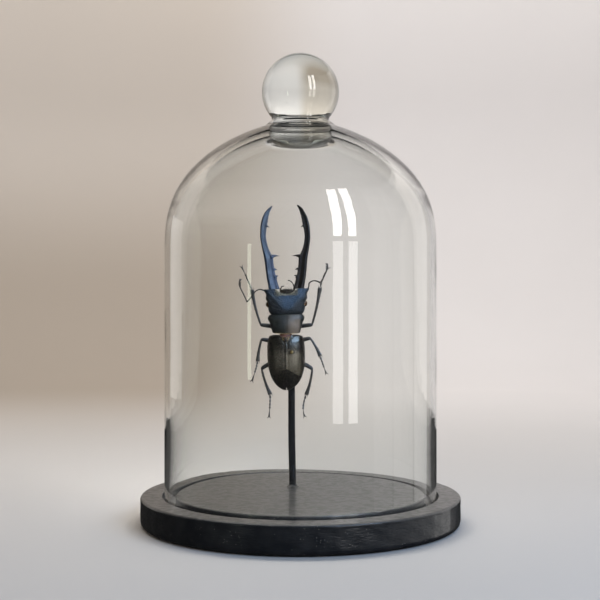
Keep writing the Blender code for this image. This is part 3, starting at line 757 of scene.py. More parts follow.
class SPECIMEN_OT_rod(bpy.types.Operator):
    """Make the gloss black rod and the bead of glue round its foot"""

    bl_idname = "specimen.rod"
    bl_label = "Rod and glue"

    def execute(self, context):
        sizes = context.scene.specimen_case
        thick, top = sizes.rod_radius / MM, sizes.disc_top / MM
        foot = rod_low.z / MM
        length = ROD_TOP - foot
        rows = [np.array([[0.0, length]]), rounded((0.0, length), (thick, length), (thick, 0.0), 0.5)]
        rows += [between((thick, length - 0.5), (thick, 0.4), 60), between((thick, 0.4), (0.0, 0.0), 3)]
        place = MILLIMETRES @ Matrix.Translation((*ROD_FOOT, foot)) @ Matrix.Rotation(ROD_LEAN, 4, "Y")
        mesh = as_mesh("upright_rod", turned(np.vstack(rows), 48, 0.004), place)
        add_piece("upright_rod", mesh, finish("rod lacquer"), "gloss_black_rod", ["rod"])
        profile = [(0.0, 1.25), (thick - 0.2, 1.25), (thick + 0.1, 1.1), (thick + 0.45, 0.65)]
        profile += [(COLLAR_REACH - 0.15, 0.2), (COLLAR_REACH, 0.0), (thick, -0.15), (0.0, -0.15)]
        bead = smooth_path(profile, 40)
        bead[:, 0] = np.maximum(bead[:, 0], 0.0)
        points, faces = turned(bead, 64, 0.035)
        mesh = as_mesh("glue_bead", (points, faces), MILLIMETRES @ Matrix.Translation((*ROD_FOOT, top)))
        add_piece("glue_bead", mesh, finish("black glue"), "black_glue", ["rod_collar"])
        return {"FINISHED"}


PIN_HEAD_RISE = 5.5
PIN_REACH = 6.9
PIN_THICK = 0.28


class SPECIMEN_OT_pin(bpy.types.Operator):
    """Make the brass pin that holds the beetle to the rod"""

    bl_idname = "specimen.pin"
    bl_label = "Brass pin"

    def execute(self, context):
        size = context.scene.specimen_case.pin_head / MM
        rows = [arc_rows((0.0, PIN_HEAD_RISE), size, 90.0, -68.0, 22)]
        rows.append(between((PIN_THICK, 4.7), (PIN_THICK, -PIN_REACH), 30))
        rows.append(between((PIN_THICK, -PIN_REACH), (0.0, -PIN_REACH - 0.4), 3))
        rows[0][0] = (0.0, PIN_HEAD_RISE + size)
        place = Matrix.Translation((PIN_PLACE[0], 0.0, PIN_PLACE[1]))
        place @= Matrix.Rotation(math.radians(90.0), 4, "X")
        mesh = as_mesh("brass_pin", turned(np.vstack(rows), 40), BEETLE_FRAME @ place)
        add_piece("brass_pin", mesh, finish("brass"), "brass_pin", ["pin"])
        return {"FINISHED"}


# The beetle, in its own millimetres: x across, y towards the belly, z towards the jaws

HEAD_STATIONS = (
    (8.7, 6.3, 2.0, 1.9, 0.0), (9.5, 7.3, 2.6, 2.4, 0.0), (10.5, 8.0, 3.0, 2.9, 0.08),
    (12.3, 8.4, 3.3, 3.2, 0.31), (13.9, 8.6, 3.3, 3.3, 0.7), (14.9, 9.4, 3.0, 3.2, 1.24),
    (16.1, 9.25, 2.5, 2.8, 1.94), (17.5, 10.0, 1.9, 2.1, 2.8), (17.4, 3.0, 0.9, 1.1, 0.0),
)
CHEST_STATIONS = (
    (0.55, 5.2, 2.3, 2.2, 0.0), (0.95, 6.15, 2.8, 2.6, 0.0), (2.2, 6.6, 3.3, 2.9, 0.0),
    (4.0, 7.15, 3.6, 3.0, 0.0), (5.6, 7.55, 3.6, 3.0, 0.0), (6.9, 8.2, 3.4, 2.9, 0.0),
    (8.0, 8.25, 3.1, 2.7, 0.0), (9.15, 7.5, 2.5, 2.3, 0.0),
)
MIDBODY_STATIONS = (
    (0.65, 2.4, 1.5, 1.5, 0.0), (0.1, 2.9, 1.75, 1.8, 0.0), (-0.5, 3.1, 1.95, 2.3, 0.0),
    (-1.2, 5.6, 2.45, 3.0, 0.0), (-3.45, 6.6, 2.7, 3.4, 0.0),
)
REARBODY_STATIONS = (
    (-3.6, 6.7, 2.8, 3.5, 0.0), (-5.6, 7.2, 3.0, 3.7, 0.0), (-8.8, 7.35, 3.1, 3.7, 0.0),
    (-12.3, 7.15, 3.1, 3.5, 0.0),
)
ABDOMEN_STATIONS = (
    (-12.45, 7.1, 3.1, 3.4, 0.0), (-15.0, 6.8, 2.9, 3.2, 0.0), (-18.0, 6.1, 2.4, 2.9, 0.0),
    (-20.7, 5.1, 1.7, 2.5, 0.0), (-22.8, 3.9, 1.0, 2.0, 0.0), (-24.4, 2.3, 0.3, 1.4, 0.0),
)
WING_STATIONS = (
    (0.0, 3.1, 5.2, 2.4, 0.5), (-0.5, 2.6, 7.2, 3.0, 0.0), (-1.6, 1.75, 7.95, 3.42, -0.4),
    (-2.6, 0.95, 8.25, 3.7, -0.6), (-3.7, 0.12, 8.4, 3.96, -0.8), (-6.5, 0.12, 8.6, 4.3, -1.0),
    (-10.5, 0.12, 8.6, 4.4, -1.1), (-14.5, 0.12, 8.35, 4.15, -1.1), (-18.0, 0.12, 7.55, 3.5, -1.1),
    (-21.0, 0.12, 6.35, 2.6, -1.0), (-23.4, 0.12, 4.6, 1.6, -0.9), (-25.0, 0.12, 2.5, 0.7, -0.8),
    (-25.6, 0.12, 1.0, 0.2, -0.7),
)
MANDIBLE_STATIONS = (
    (8.05, 20.3, 2.9, 20.2, 1.7, 0.0), (8.4, 22.6, 3.75, 22.5, 1.6, -0.1),
    (8.9, 25.4, 4.45, 25.3, 1.4, -0.2), (9.1, 27.2, 4.95, 27.1, 1.35, -0.3),
    (9.3, 28.8, 5.2, 28.7, 1.25, -0.3), (9.55, 31.4, 5.6, 31.4, 1.25, -0.4),
    (9.85, 33.9, 5.75, 33.8, 1.2, -0.5), (10.05, 35.2, 6.0, 35.0, 1.15, -0.5),
    (10.35, 36.8, 6.75, 36.3, 1.15, -0.5), (10.9, 39.7, 8.0, 39.5, 1.1, -0.5),
    (11.4, 43.8, 8.75, 43.9, 1.1, -0.4), (11.3, 47.6, 8.5, 47.3, 1.05, -0.2),
    (11.15, 49.4, 8.25, 48.8, 0.95, -0.1), (10.8, 51.4, 7.95, 50.5, 0.95, 0.0),
    (9.85, 54.5, 7.5, 53.7, 0.85, 0.3), (8.2, 57.2, 6.75, 56.3, 0.6, 0.6),
    (5.9, 59.1, 5.5, 58.7, 0.2, 0.9),
)
# Teeth of a jaw: (root x, root z, tip x, tip z, radius)
TEETH = (
    (6.3, 35.1, 2.7, 35.0, 0.7), (6.6, 34.7, 4.4, 34.85, 1.1), (5.7, 29.1, 3.9, 28.7, 0.75),
    (5.2, 25.6, 3.4, 26.1, 0.8), (5.0, 24.4, 3.9, 25.2, 0.7), (8.6, 49.6, 6.9, 48.5, 0.62),
    (8.1, 51.6, 7.3, 51.2, 0.42), (7.8, 53.3, 7.05, 53.0, 0.38), (7.4, 55.0, 6.6, 54.7, 0.3),
)


def ridge_line(z):
    """How far from the midline the ridges of the head run."""
    return 1.4 + 7.4 * np.clip((z - 11.0) / 8.0, 0.0, 1.0) ** 1.25


def head_relief(x, z, rise):
    """Ridges from the jaw corners to the nape, and the hollow between them."""
    upper = ease(rise, 0.0, 0.35)
    ridge_x = ridge_line(z)
    ridge = 0.2 * bump(np.abs(x), ridge_x, 0.85) * ease(z, 10.6, 12.5)
    hollow = -0.35 * np.clip(1.0 - (x / np.maximum(ridge_x, 0.5)) ** 2, 0.0, 1.0) * ease(z, 12.0, 15.5)
    grain = 0.1 * np.sin(5.1 * x + 1.7 * np.sin(3.3 * z)) * np.sin(4.7 * z + 1.3 * np.sin(2.9 * x))
    brow = 0.3 * bump(np.abs(x), 7.9, 0.7) * bump(z, 15.2, 1.4)
    return upper * (ridge + hollow + grain + brow)


def chest_relief(x, z, rise):
    """The midline groove, the raised rims and a shallow dent on each side."""
    upper = ease(rise, 0.0, 0.35)
    groove = -0.09 * bump(x, 0.0, 0.6) * ease(z, 1.0, 2.0) * (1.0 - ease(z, 8.0, 9.0))
    rims = 0.16 * bump(z, 8.75, 0.3) + 0.14 * bump(z, 1.0, 0.3)
    dents = -0.22 * bump(np.abs(x), 4.6, 1.0) * bump(z, 5.0, 1.3)
    return upper * (groove + rims + dents)


def belly_relief(x, z, rise):
    """Plates across the underside."""
    under = ease(-rise, 0.0, 0.3)
    plate = np.mod(z + 12.6, 2.35) / 2.35
    return under * 0.16 * (plate - 0.5) + 0.02 * np.sin(6.0 * z)


def points_in(frame_matrix, mesh):
    """The mesh's points as seen in a frame of the beetle, in mm."""
    back = np.array(frame_matrix.inverted())
    points = np.array([vert.co for vert in mesh.vertices])
    return points @ back[:3, :3].T + back[:3, 3]


def add_tone(mesh, values, name="tone"):
    layer = mesh.attributes.new(name, "FLOAT", "POINT")
    layer.data.foreach_set("value", np.clip(values, 0.0, 1.0).astype(np.float32))


class SPECIMEN_OT_head(bpy.types.Operator):
    """Model the head with its ridges and its eyes"""

    bl_idname = "specimen.head"
    bl_label = "Head and eyes"

    def execute(self, context):
        detail = context.scene.specimen_detail
        shape = body(HEAD_STATIONS, detail.around, detail.along, relief=head_relief)
        mesh = as_mesh("head_capsule", shape, HEAD_FRAME)
        x, y, z = points_in(HEAD_FRAME, mesh).T
        ridge_x = ridge_line(z)
        # The tone paints the forehead's blue bloom with a painted reflection of the sky light on the top of
        # the head; painted shade darkens it towards the left side.
        bloom_and_painted_sky = 1.0 - ease(np.abs(x - 0.4), ridge_x - 2.0, ridge_x + 2.4)
        bloom_and_painted_sky = bloom_and_painted_sky * ease(-y, 0.4, 1.6) * ease(z, 10.4, 12.4)
        mottle = 0.5 + 0.5 * np.sin(4.3 * x + 2.0 * np.sin(3.1 * z)) * np.sin(3.9 * z + 1.5 * np.sin(2.3 * x))
        add_tone(mesh, (0.05 + 0.95 * bloom_and_painted_sky) * (0.3 + 0.7 * mottle) * (0.45 + 0.55 * ease(x, -5.0, 1.0)))
        add_tone(mesh, ease(-y, 0.2, 0.8) * ease(z, 17.2, 17.5) * (1.0 - ease(np.abs(x), 4.6, 5.6)), "fringe")
        add_piece("head_capsule", mesh, finish("head shell"), "head_shell", ["head"])
        eyes = [ball((side * 7.95, 0.35, 13.75), (1.5, 1.45, 1.5), 40) for side in SIDES.values()]
        mesh = as_mesh("eyes", together(eyes), HEAD_FRAME)
        add_piece("eyes", mesh, finish("eye"), "head_shell")
        return {"FINISHED"}


JAW_CELL = 0.11


def jaw_shape(side):
    """A long jaw: its shaft, ridged near the outer side, and its teeth."""
    rows = smooth_path(MANDIBLE_STATIONS, 150)
    angle = np.linspace(0.0, 2.0 * math.pi, 40, endpoint=False)
    rings = []
    for outer_x, outer_z, inner_x, inner_z, thick, depth in rows:
        middle = np.array([outer_x + inner_x, outer_z + inner_z]) / 2.0
        reach = np.array([outer_x - inner_x, outer_z - inner_z]) / 2.0
        cos, sin = np.cos(angle), np.sin(angle)
        x, z = middle[:, None] + reach[:, None] * signed_power(cos, 0.85)
        ridge = 0.78 + 0.4 * cos - 0.3 * bump(cos, -0.2, 0.35) + 0.12 * bump(cos, 0.5, 0.14)
        crest = np.where(sin > 0.0, ridge, 0.95)
        rings.append(np.column_stack([side * x, depth - thick * signed_power(sin, 0.9) * crest, z]))
    teeth = []
    for root_x, root_z, tip_x, tip_z, radius in TEETH:
        depth = np.interp(root_z, rows[:, 3], rows[:, 5])
        curl = (side * 0.1, 0.0, 0.12)
        teeth.append(spike((side * root_x, depth, root_z), (side * tip_x, depth, tip_z), radius, 12, curl))
    return together([skin(rings), *teeth])


def fused(name, shape, cell, place):
    """Overlapping closed shapes fused into one skin with cells of this size in mm, as a mesh in the world."""
    rough = bpy.data.meshes.new(name)
    rough.from_pydata(shape[0].tolist(), [], shape[1])
    outward(rough)
    holder = bpy.data.objects.new(name, rough)
    bpy.context.scene.collection.objects.link(holder)
    remesh = holder.modifiers.new("fuse", "REMESH")
    remesh.mode = "VOXEL"
    remesh.voxel_size = cell
    soften = holder.modifiers.new("soften", "SMOOTH")
    soften.factor = 0.5
    soften.iterations = 2
    mesh = plain_mesh(holder, name)
    mesh.transform(place)
    return mesh


def plain_mesh(holder, name):
    """The evaluated mesh of an object, which is then removed."""
    evaluated = holder.evaluated_get(bpy.context.evaluated_depsgraph_get())
    mesh = bpy.data.meshes.new_from_object(evaluated)
    bpy.data.objects.remove(holder, do_unlink=True)
    mesh.name = name
    return mesh


class SPECIMEN_OT_jaws(bpy.types.Operator):
    """Model the two long toothed jaws"""

    bl_idname = "specimen.jaws"
    bl_label = "Jaws"

    def execute(self, context):
        for name, side in SIDES.items():
            mesh = fused(f"jaw_{name}", jaw_shape(side), JAW_CELL, HEAD_FRAME)
            x, y, z = points_in(HEAD_FRAME, mesh).T
            reach = side * x
            # The tone paints a reflection of the sky light on the top of each jaw, strongest on its inner
            # slope and fading towards the tip.
            inner = 1.0 - ease(reach, 5.0 + 0.06 * (z - 20.0), 8.8 + 0.05 * (z - 20.0))
            add_tone(mesh, (0.35 + 0.65 * inner) * (1.0 - 0.55 * ease(z, 30.0, 56.0)) * ease(-y, -1.2, 0.3))
            material = finish("blue jaw shell" if name == "left" else "dark jaw shell")
            add_piece(f"jaw_{name}", mesh, material, f"{name}_mandible_shell", [f"mandible_{name}"], 60.0)
        return {"FINISHED"}


PALPS = {
    "left": ((-2.3, 1.3, 18.1), (-2.7, 1.2, 19.6), (-2.4, 1.0, 20.9), (-1.7, 0.9, 21.5), (-1.0, 0.9, 21.4)),
    "right": (
        (2.9, 1.3, 18.1), (3.6, 1.0, 20.2), (3.3, 0.7, 21.8), (2.4, 0.5, 23.2), (1.4, 0.4, 23.9),
        (0.6, 0.4, 23.9),
    ),
}
PALP_SIZES = (0.62, 0.5, 0.3, 0.25, 0.27, 0.2)
LABRUM_STATIONS = (
    (17.7, 1.7, 0.5, 0.5, 0.0), (18.4, 2.6, 0.45, 0.4, 0.0), (19.0, 2.9, 0.35, 0.3, 0.3),
    (19.5, 2.4, 0.2, 0.2, 0.4),
)
LABIUM_STATIONS = ((17.7, 1.3, 0.4, 0.4, 0.0), (19.2, 1.5, 0.4, 0.35, 0.0), (20.2, 0.9, 0.25, 0.25, 0.0))


class SPECIMEN_OT_mouth(bpy.types.Operator):
    """Model the lips, the palps and the brush of hair between the jaws"""

    bl_idname = "specimen.mouth"
    bl_label = "Mouthparts"

    def execute(self, context):
        detail = context.scene.specimen_detail
        for name, stations, depth in (("labrum", LABRUM_STATIONS, -0.3), ("labium", LABIUM_STATIONS, 2.45)):
            points, faces = body(stations, 48, 30)
            mesh = as_mesh(f"{name}_plate", (points + (0.0, depth, 0.0), faces), HEAD_FRAME)
            add_tone(mesh, ease(points_in(HEAD_FRAME, mesh)[:, 2], 17.8, 18.4), "brush")
            add_piece(f"{name}_plate", mesh, finish("mouth shell"), "mouthparts", [name])
        for name, route in PALPS.items():
            sizes = PALP_SIZES[: len(route) - 1] + (0.14,)
            rows = smooth_path([(*point, size, size) for point, size in zip(route, sizes)], 46)
            waist = 1.0 - 0.28 * np.abs(np.cos(np.linspace(0.0, 4.0 * math.pi, 46))) ** 6
            rows[:, 3:] *= waist[:, None]
            mesh = as_mesh(f"palp_{name}", limb(rows, 14, 60), HEAD_FRAME)
            add_piece(f"palp_{name}", mesh, finish("mouth shell"), "mouthparts", [f"maxilla_{name}"])
        brush = bpy.data.objects["labrum_plate"]
        grow_hair(
            "mouth_brush", brush, "brush", detail.mouth_hair, 1.3, 0.06, (0.8, 0.6, 0.8), 3, "dark hair",
            "mouthparts",
        )
        head = bpy.data.objects["head_capsule"]
        grow_hair(
            "forehead_fringe", head, "fringe", detail.fringe_hair, 0.8, 0.045, (0.5, 0.4, 0.5), 5,
            "pale hair", "head_shell",
        )
        return {"FINISHED"}


SCAPES = {
    "left": (
        (-9.4, 0.5, 19.5), (-10.4, 0.4, 19.9), (-11.8, 0.2, 20.4), (-13.7, 0.0, 19.8),
        (-15.3, -0.2, 18.0), (-17.8, -0.3, 15.1),
    ),
    "right": (
        (9.3, 0.5, 20.0), (10.05, 0.4, 20.8), (10.4, 0.1, 22.6), (12.0, -0.3, 23.5), (13.6, -0.6, 23.4),
        (15.4, -0.8, 22.6),
    ),
}
FLAGELLA = {
    "left": (
        (-17.9, -0.3, 15.0), (-18.1, -0.3, 15.7), (-19.0, -0.3, 17.8), (-20.4, -0.2, 20.5),
        (-21.3, -0.1, 22.7), (-20.9, 0.0, 25.4),
    ),
    "right": (
        (15.3, -0.9, 22.7), (15.7, -0.9, 23.2), (16.6, -1.0, 24.4), (17.9, -1.0, 27.0),
        (18.7, -0.9, 29.0), (18.7, -0.8, 31.4),
    ),
}
SCAPE_SIZES = (0.24, 0.28, 0.3, 0.27, 0.3, 0.4)
LASH_ROWS = 160
BEADS = 7
CLUB_SHARE = 0.7
LAMELLAE = ((0.74, 1.15), (0.84, 1.25), (0.94, 1.1))


def feeler_shape(route, side):
    """The beaded lash of a feeler with three plates at its end."""
    rows = smooth_path([(*point, 0.25, 0.25) for point in route], LASH_ROWS)
    share = np.linspace(0.0, 1.0, LASH_ROWS)
    beads = 0.19 + 0.1 * np.abs(np.sin(np.clip(share / CLUB_SHARE, 0.0, 1.0) * BEADS * math.pi)) ** 0.7
    rows[:, 3] = rows[:, 4] = np.where(share < CLUB_SHARE, beads, 0.27) * np.where(share > 0.985, 0.6, 1.0)
    shapes = [limb(rows, 12, 170)]
    for place, reach in LAMELLAE:
        last = LASH_ROWS - 1
        root = rows[int(place * last), :3]
        ahead = rows[min(int(place * last) + 6, last), :3] - root
        ahead /= np.linalg.norm(ahead)
        across = np.array([ahead[2], 0.0, -ahead[0]]) * -side
        tip = root + across * reach * 0.75 + ahead * 0.75
        plate = [(*(root - ahead * 0.25), 0.16, 0.2), (*(root + across * 0.2), 0.3, 0.3)]
        plate += [(*(root * 0.45 + tip * 0.55), 0.3, 0.34), (*tip, 0.12, 0.16)]
        shapes.append(limb(plate, 12, 18))
    return together(shapes)


class SPECIMEN_OT_antennae(bpy.types.Operator):
    """Model the elbowed antennae with their plated clubs"""

    bl_idname = "specimen.antennae"
    bl_label = "Antennae"

    def execute(self, context):
        for name, side in SIDES.items():
            shell = finish("feeler shell")
            scape = limb([(*point, size, size) for point, size in zip(SCAPES[name], SCAPE_SIZES)], 16, 70)
            mesh = as_mesh(f"scape_{name}", scape, HEAD_FRAME)
            add_piece(f"scape_{name}", mesh, shell, "antenna_shell", [f"antenna_scape_{name}"])
            mesh = as_mesh(f"lash_{name}", feeler_shape(FLAGELLA[name], side), HEAD_FRAME)
            add_piece(f"lash_{name}", mesh, shell, "antenna_shell", [f"antenna_flagellum_{name}"])
        return {"FINISHED"}


class SPECIMEN_OT_chest(bpy.types.Operator):
    """Model the shield of the chest"""

    bl_idname = "specimen.chest"
    bl_label = "Chest"

    def execute(self, context):
        detail = context.scene.specimen_detail
        shape = body(CHEST_STATIONS, detail.around, detail.along, 1.95, chest_relief)
        mesh = as_mesh("chest_shield", shape, CHEST_FRAME)
        x, y, z = points_in(CHEST_FRAME, mesh).T
        # The tone paints a sheen of the right windows on the right half of the shield's top, short of its
        # edge and fading towards the front.
        painted_window_sheen = ease(x, -1.2, 3.4) * (1.0 - ease(x, 5.4, 7.0)) * ease(-y, 0.6, 2.0)
        add_tone(mesh, painted_window_sheen * (1.0 - 0.5 * ease(z, 5.0, 8.0)))
        add_tone(mesh, ease(-y, 1.2, 1.9) * (1.0 - ease(z, 0.85, 1.15)), "edge")
        add_piece("chest_shield", mesh, finish("chest shell"), "chest_shell", ["prothorax"])
        shield = bpy.data.objects["chest_shield"]
        grow_hair(
            "chest_edge_hair", shield, "edge", 14.0, 0.55, 0.03, (0.5, 0.3, 0.5), 9, "gold hair",
            "chest_shell",
        )
        return {"FINISHED"}


SCUTELLUM_ROOF = (
    (1.0, 2.0), (1.02, 3.2), (0.85, 3.6), (0.4, 3.78), (0.0, 3.82), (-0.4, 3.78), (-0.85, 3.6),
    (-1.02, 3.2), (-1.0, 2.0),
)
SCUTELLUM_OUTLINE = ((1.45, -1.1), (1.3, -1.7), (0.95, -2.2), (0.5, -2.75), (0.14, -3.2))


class SPECIMEN_OT_neck(bpy.types.Operator):
    """Model the red-brown neck and the small plate between the wing covers"""

    bl_idname = "specimen.neck"
    bl_label = "Neck and scutellum"

    def execute(self, context):
        neck = body(MIDBODY_STATIONS, 96, 46)
        roof = np.array(SCUTELLUM_ROOF)
        rows = smooth_path(SCUTELLUM_OUTLINE, 16)
        plate = [np.column_stack([half * roof[:, 0], -roof[:, 1], np.full(len(roof), z)]) for half, z in rows]
        mesh = as_mesh("neck_and_scutellum", together([neck, skin(plate)]))
        x, y, z = points_in(BEETLE_FRAME, mesh).T
        add_tone(mesh, ease(-z, 0.9, 1.4))
        add_tone(mesh, ease(-y, 2.2, 3.0) * ease(-z, 0.9, 1.3) * ease(np.abs(x), 0.5, 0.9), "gold")
        add_piece("neck_and_scutellum", mesh, finish("neck skin"), "neck_shell", ["mesothorax"])
        neck_piece = bpy.data.objects["neck_and_scutellum"]
        grow_hair(
            "scutellum_hair", neck_piece, "gold", 26.0, 0.5, 0.04, (0.7, 0.7, 0.3), 12, "gold hair",
            "neck_shell",
        )
        return {"FINISHED"}


class SPECIMEN_OT_underside(bpy.types.Operator):
    """Model the plates under the wing covers"""

    bl_idname = "specimen.underside"
    bl_label = "Underside"

    def execute(self, context):
        detail = context.scene.specimen_detail
        for name, stations, node_name in (
            ("breast_plate", REARBODY_STATIONS, "metathorax"), ("belly_plates", ABDOMEN_STATIONS, "abdomen"),
        ):
            mesh = as_mesh(name, body(stations, detail.around, 80, relief=belly_relief))
            add_piece(name, mesh, finish("belly shell"), "under_shell", [node_name])
        return {"FINISHED"}


# Share of the painted reflection that the left wing cover gets.
LEFT_PAINTED_REFLECTION = 0.3


def wing_shape(side, across=46, along=110):
    """One wing cover: a thin shell with a raised seam, a rolled outer edge and a hump at the shoulder."""
    t = np.linspace(0.0, 1.0, across)
    rings = []
    for z, inner, wide, crown, rim in smooth_path(WING_STATIONS, along):
        ring = []
        inset = min(0.5, 0.4 * (crown - rim))
        for outside, cut in ((True, 0.0), (False, inset)):
            edge, high = wide - cut, crown - cut
            start = min(inner, edge * 0.8)
            x = start + (edge - start) * np.sin(0.5 * math.pi * t)
            y = rim + (high - rim) * np.sqrt(np.maximum(0.0, 1.0 - (x / edge) ** 2.6))
            if outside:
                seam = 0.1 * bump(x, start, 0.22) - 0.1 * bump(x, start + 0.65, 0.28)
                gutter = -0.16 * bump(x / edge, 0.955, 0.018) * ease(-z, 0.6, 2.0)
                hump = 0.12 * bump(x, 6.0, 1.0) * bump(z, -2.3, 1.2)
                rows = 0.012 * np.sin(x * 4.6) * ease(-z, 2.0, 5.0)
                from_pin = (x - PIN_PLACE[0]) ** 2 + (z - PIN_PLACE[1]) ** 2
                pinned = -0.12 * np.exp(-from_pin / 0.9) * (side > 0.0)
                y = y + (seam + gutter + hump + rows + pinned) * ease(crown - rim, 1.0, 3.0)
            ring.append(np.column_stack([side * x, -y, np.full(across, z)]))
        rings.append(np.vstack([ring[0], ring[1][::-1]]))
    return skin(rings)


class SPECIMEN_OT_wings(bpy.types.Operator):
    """Model the two hard wing covers"""

    bl_idname = "specimen.wings"
    bl_label = "Wing covers"

    def execute(self, context):
        for name, side in SIDES.items():
            mesh = as_mesh(f"wing_cover_{name}", wing_shape(side))
            x, y, z = points_in(BEETLE_FRAME, mesh).T
            # The tone paints a reflection of the warm room on the top of each cover: a band from below the
            # shoulders down to a dark V at the apex, fainter at the outer rim and on the left cover.
            reflection_ends_at = 15.6 + 0.62 * np.abs(x)
            band = ease(-z, 6.5, 9.5) * (1.0 - ease(-z, reflection_ends_at - 0.6, reflection_ends_at + 0.6))
            rim = 1.0 - ease(np.abs(x), 5.6, 7.9)
            sheen = LEFT_PAINTED_REFLECTION if side < 0.0 else 1.0
            add_tone(mesh, sheen * band * (0.25 + 0.75 * rim) * ease(-y, 0.6, 2.2))
            shell = finish("wing shell")
            add_piece(f"wing_cover_{name}", mesh, shell, "wing_cover_shell", [f"elytron_{name}"], 40.0)
        return {"FINISHED"}


# Coxae: (inner x, outer x, z, y); legs: (knee, end of the tibia, middle of the tarsus, end of the tarsus)
COXAE = {"fore": (0.7, 3.3, 3.2, 4.05), "middle": (0.9, 3.5, -4.1, 4.7), "hind": (1.0, 4.6, -13.4, 4.5)}
LEGS = {
    ("fore", "left"): ((-11.4, 2.8, 4.5), (-15.3, 2.2, 20.2), (-17.8, 3.0, 25.8), (-20.0, 3.4, 30.4)),
    ("fore", "right"): ((12.0, 2.8, 4.3), (15.6, 2.2, 20.5), (17.6, 3.2, 26.2), (19.6, 3.6, 29.6)),
    ("middle", "left"): ((-11.2, 3.4, -2.3), (-13.1, 3.4, -12.5), (-14.2, 3.8, -16.6), (-15.8, 3.9, -21.5)),
    ("middle", "right"): ((11.1, 3.4, -1.8), (15.5, 3.2, -10.2), (16.8, 3.7, -14.6), (18.1, 3.9, -18.4)),
    ("hind", "left"): ((-11.4, 3.4, -16.1), (-7.5, 3.6, -27.6), (-7.7, 3.9, -32.6), (-8.1, 4.0, -37.5)),
    ("hind", "right"): ((11.8, 3.4, -16.3), (8.9, 3.6, -28.0), (7.5, 3.9, -33.2), (8.1, 4.0, -37.6)),
}
COXA_STEPS = ((0.0, 0.5), (0.2, 0.9), (0.6, 1.0), (1.0, 0.7))
FEMUR_STEPS = (
    (0.0, 0.5, 0.45), (0.12, 0.8, 0.7), (0.45, 1.02, 0.8), (0.8, 0.92, 0.72), (0.95, 0.78, 0.6),
    (1.04, 0.3, 0.3),
)
TIBIA_STEPS = (
    (0.0, 0.3, 0.3), (0.03, 0.46, 0.42), (0.1, 0.5, 0.45), (0.3, 0.52, 0.45), (0.6, 0.62, 0.48),
    (0.85, 0.8, 0.52), (0.97, 0.98, 0.5), (1.0, 0.7, 0.35),
)
FEMUR_ARCH = {"fore": 0.15, "middle": 0.3, "hind": 0.75}
TIBIA_BOW = {"fore": 0.35, "middle": 0.3, "hind": 0.4}
TARSUS_JOINTS = 5
TARSUS_BOUNDS = (0.0, 0.17, 0.33, 0.48, 0.62, 1.0)
TARSUS_ROWS = 120
SPURS = (-0.8, 0.75)
THORNS = {"fore": (0.45, 0.62, 0.76, 0.88), "middle": (0.6,), "hind": (0.62,)}


def limb_rows(start, end, steps, bow):
    """Rows of a straight segment, bowed sideways by so many mm."""
    start, end = np.asarray(start, float), np.asarray(end, float)
    ahead = (end - start) / np.linalg.norm(end - start)
    across = np.array([ahead[2], 0.0, -ahead[0]])
    rows = []
    for place, wide, thick in steps:
        bend = bow * math.sin(math.pi * min(1.0, place))
        rows.append((*(start + (end - start) * place + across * bend), wide, thick))
    return rows, ahead, across


def tarsus_shape(start, middle, end):
    """Five joints along a bent line, then the claws."""
    start, middle, end = (np.asarray(point, float) for point in (start, middle, end))
    share = np.linspace(0.0, 1.0, TARSUS_ROWS)
    t = share[:, None]
    path = (1.0 - t) ** 2 * start + 2.0 * t * (1.0 - t) * (2.0 * middle - 0.5 * (start + end)) + t**2 * end
    bounds = np.array(TARSUS_BOUNDS)
    joint = np.clip(np.searchsorted(bounds, share, side="right") - 1, 0, TARSUS_JOINTS - 1)
    along = (share - bounds[joint]) / (bounds[joint + 1] - bounds[joint])
    swell = 0.16 + 0.48 * np.clip(along, 0.0, 1.0) ** 1.7 * (1.0 - ease(along, 0.88, 1.0) * 0.8)
    swell[joint == TARSUS_JOINTS - 1] *= 0.75
    shapes = [limb(np.column_stack([path, swell, swell * 0.9]), 12, 150)]
    ahead = (path[-1] - path[-8]) / np.linalg.norm(path[-1] - path[-8])
    across = np.array([ahead[2], 0.0, -ahead[0]])
    for hand in (-1.0, 1.0):
        tip = end + ahead * 0.93 + across * hand * 0.78
        shapes.append(spike(end - ahead * 0.25, tip, 0.19, 8, across * hand * 0.25 + ahead * 0.05))
    return together(shapes)


